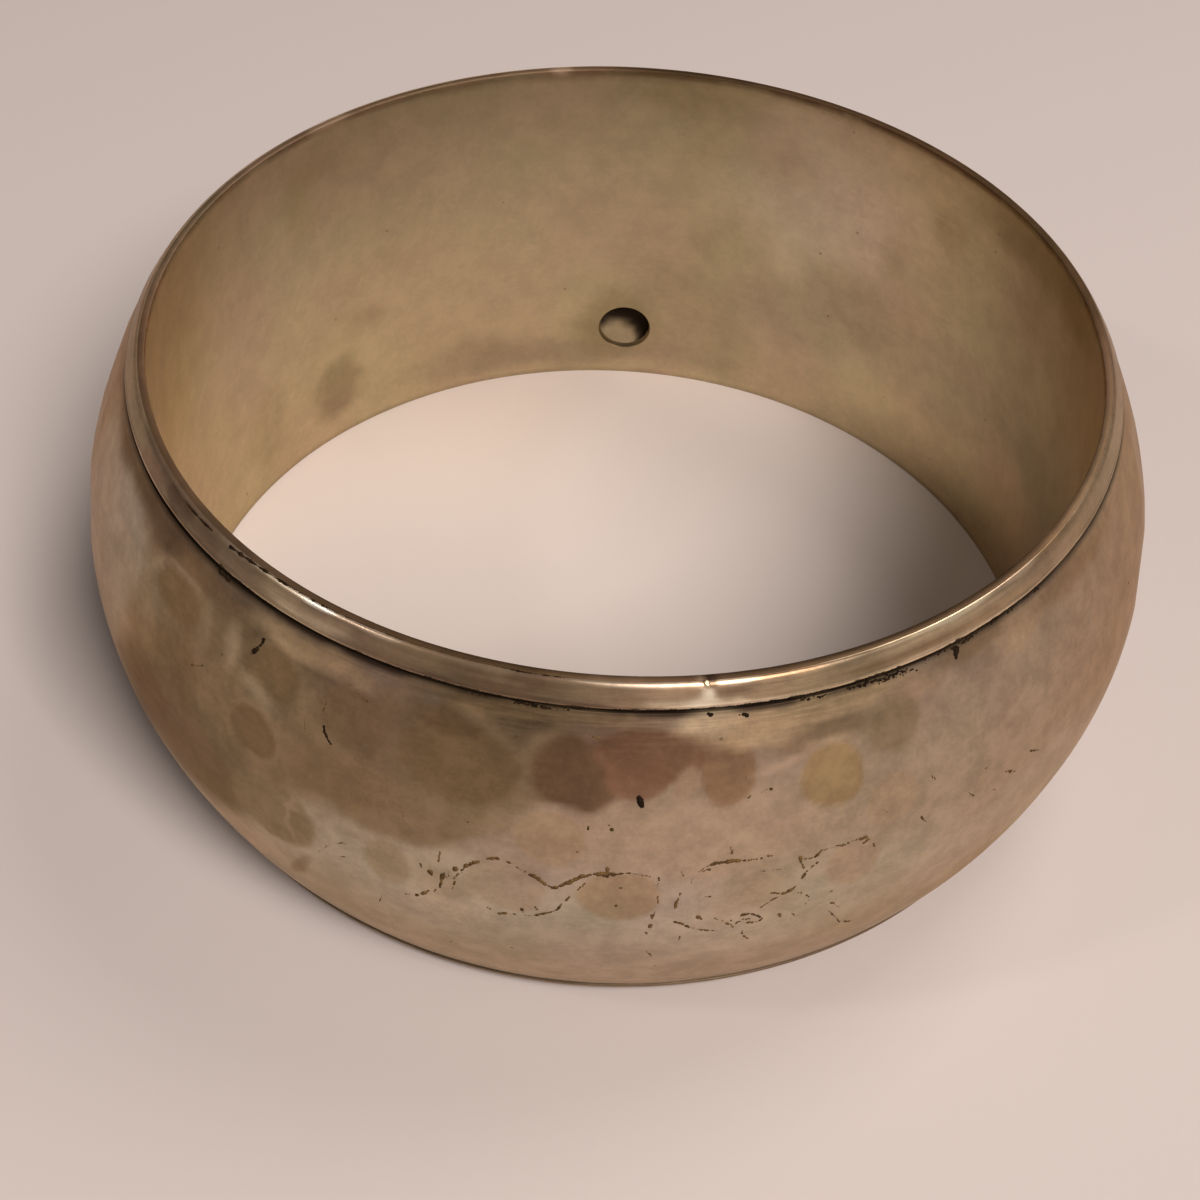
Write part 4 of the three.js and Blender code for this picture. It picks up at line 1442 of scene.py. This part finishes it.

# %% Painted seam shadow and dirt under the rim's lip
UNDER_LIP = [
    # on the underside of the rim's lip, as (turn, height, radius)
    # the long thin lines paint the shadow in the seam, under the lip
    (0.1, 0.02, 0.2, [(-66, 28.84, 33.5), (-53, 28.84, 33.5)]),
    (0.17, 0.02, 0.0, [(-53, 28.84, 33.5), (-40, 28.84, 33.5), (-26, 28.84, 33.5)]),
    (0.2, 0.02, 0.0, [(-26, 28.84, 33.5), (-14, 28.84, 33.5), (0, 28.84, 33.5)]),
    (0.18, 0.03, 0.0, [(0, 28.84, 33.5), (10, 28.84, 33.5), (20, 28.84, 33.5), (36, 28.84, 33.5)]),
    (0.14, 0.02, 0.15, [(36, 28.84, 33.5), (46, 28.84, 33.5), (58, 28.84, 33.5)]),
    # short thick lumps of dirt
    (0.3, 0.05, 0.0, [(-45, 28.82, 33.5), (-43, 28.8, 33.5)]),
    (0.26, 0.06, 0.2, [(-6, 28.78, 33.5), (-2, 28.78, 33.5)]),
    (0.3, 0.04, 0.0, [(1.9, 28.8, 33.5), (2.6, 28.8, 33.5)]),
    (0.28, 0.04, 0.0, [(9.6, 28.76, 33.5), (10.2, 28.76, 33.5)]),
    (0.26, 0.06, 0.2, [(18, 28.8, 33.5), (23, 28.78, 33.5)]),
    (0.3, 0.08, 0.2, [(25, 28.8, 33.5), (30, 28.78, 33.5)]),
    (0.38, 0.07, 0.0, [(36, 28.78, 33.5), (38.2, 28.76, 33.5)]),
]
lip_dirt_and_seam_shadow = crumb_piece("rim.seam_dirt", UNDER_LIP, top_rim, 0.08 * MM, seam_dirt_and_shadow)
keep(lip_dirt_and_seam_shadow, "rimmed_liner")

# %% Dirt on the shell's edge
UNDER_SEAM = [
    # on the edge of the shell just below, as (turn, height, radius)
    (0.2, 0.06, 0.3, [(-9, 28.6, 33.45), (-6, 28.58, 33.45), (-3.4, 28.58, 33.45)]),
    (0.15, 0.08, 0.45, [(-14, 28.56, 33.45), (-3.4, 28.5, 33.5)]),
    (0.24, 0.05, 0.0, [(9.7, 28.5, 33.5), (10, 28.4, 33.5)]),
    (0.24, 0.05, 0.0, [(12.8, 28.25), (13.4, 28.2)]),
    (0.16, 0.06, 0.3, [(19, 28.55, 33.5), (22, 28.5, 33.5)]),
    (0.17, 0.09, 0.3, [(24, 28.5, 33.5), (28, 28.46, 33.5), (31, 28.44, 33.5)]),
    (0.14, 0.1, 0.4, [(27.5, 28.3), (33, 28.26)]),
    (0.18, 0.08, 0.4, [(32, 28.55, 33.5), (40, 28.5, 33.5)]),
    (0.4, 0.12, 0.0, [(36.6, 28.55, 33.5), (37.2, 28.3), (37, 28)]),
    (0.16, 0.05, 0.5, [(40, 28.52, 33.5), (50, 28.54, 33.5)]),
    (0.34, 0.08, 0.0, [(-44.6, 28.55, 33.5), (-43.4, 28.5, 33.5)]),
    # in three deeper nicks further down
    (0.28, 0.05, 0.0, [(-37.9, 25.6), (-37.2, 26.2), (-36.7, 26.8)]),
    (0.26, 0.05, 0.0, [(-37.8, 25.5), (-37, 26.3), (-36.8, 26.7)]),
    (0.28, 0.04, 0.1, [(-28, 23.7), (-27.6, 23.2), (-27, 22.8)]),
    (0.34, 0.05, 0.0, [(3.3, 23.6), (3.5, 23.2)]),
]
under_seam = crumb_piece("shell.seam_dirt", UNDER_SEAM, shell, 0.1 * MM, seam_dirt_and_shadow)
keep(under_seam, "domed_shell")

# %% [markdown]
# ## The bead of solder
#
# A bright bead of solder stands on the rim where the two ends of the strip meet. It is a single small lump,
# so it is made by hand: a ball of many faces, flattened against the slope and pushed about by noise.

# %% The bead
BEAD_TURN = 9.6
BEAD_OUT = 0.69 * MM
BEAD_DOWN = 0.13 * MM
BEAD_HALF = Vector((0.2, 0.14, 0.24)) * MM
BEAD_LEAN = math.radians(-38)
BEAD_TONE = (0.6, 0.5, 0.34)
BEAD_UNEVENNESS = 0.35


def solder_bead(name):
    """A lump with its own bright tone."""
    lump = bmesh.new()
    bmesh.ops.create_icosphere(lump, subdivisions=4, radius=1.0)
    middle = on_band(BEAD_TURN, WRIST_RADIUS + BEAD_OUT, BAND_HEIGHT - BEAD_DOWN)
    facing = Matrix.Rotation(math.radians(BEAD_TURN), 3, "Z") @ Matrix.Rotation(BEAD_LEAN, 3, "X")
    for corner in lump.verts:
        swell = 1 + BEAD_UNEVENNESS * noise.noise(corner.co * 1.3)
        corner.co = middle + facing @ Vector(part * half * swell for part, half in zip(corner.co, BEAD_HALF))
    for face in lump.faces:
        face.smooth = True
    mesh = bpy.data.meshes.new(name)
    lump.to_mesh(mesh)
    lump.free()
    give_points(mesh, "patina", [BEAD_TONE] * len(mesh.vertices))
    mesh.materials.append(rim_metal)
    print(f"{name}: {len(mesh.polygons)} faces")
    return linked(name, mesh)


bead = solder_bead("rim.solder")
keep(bead, "rimmed_liner")

# %% [markdown]
# ## The end

# %% End
print("done")
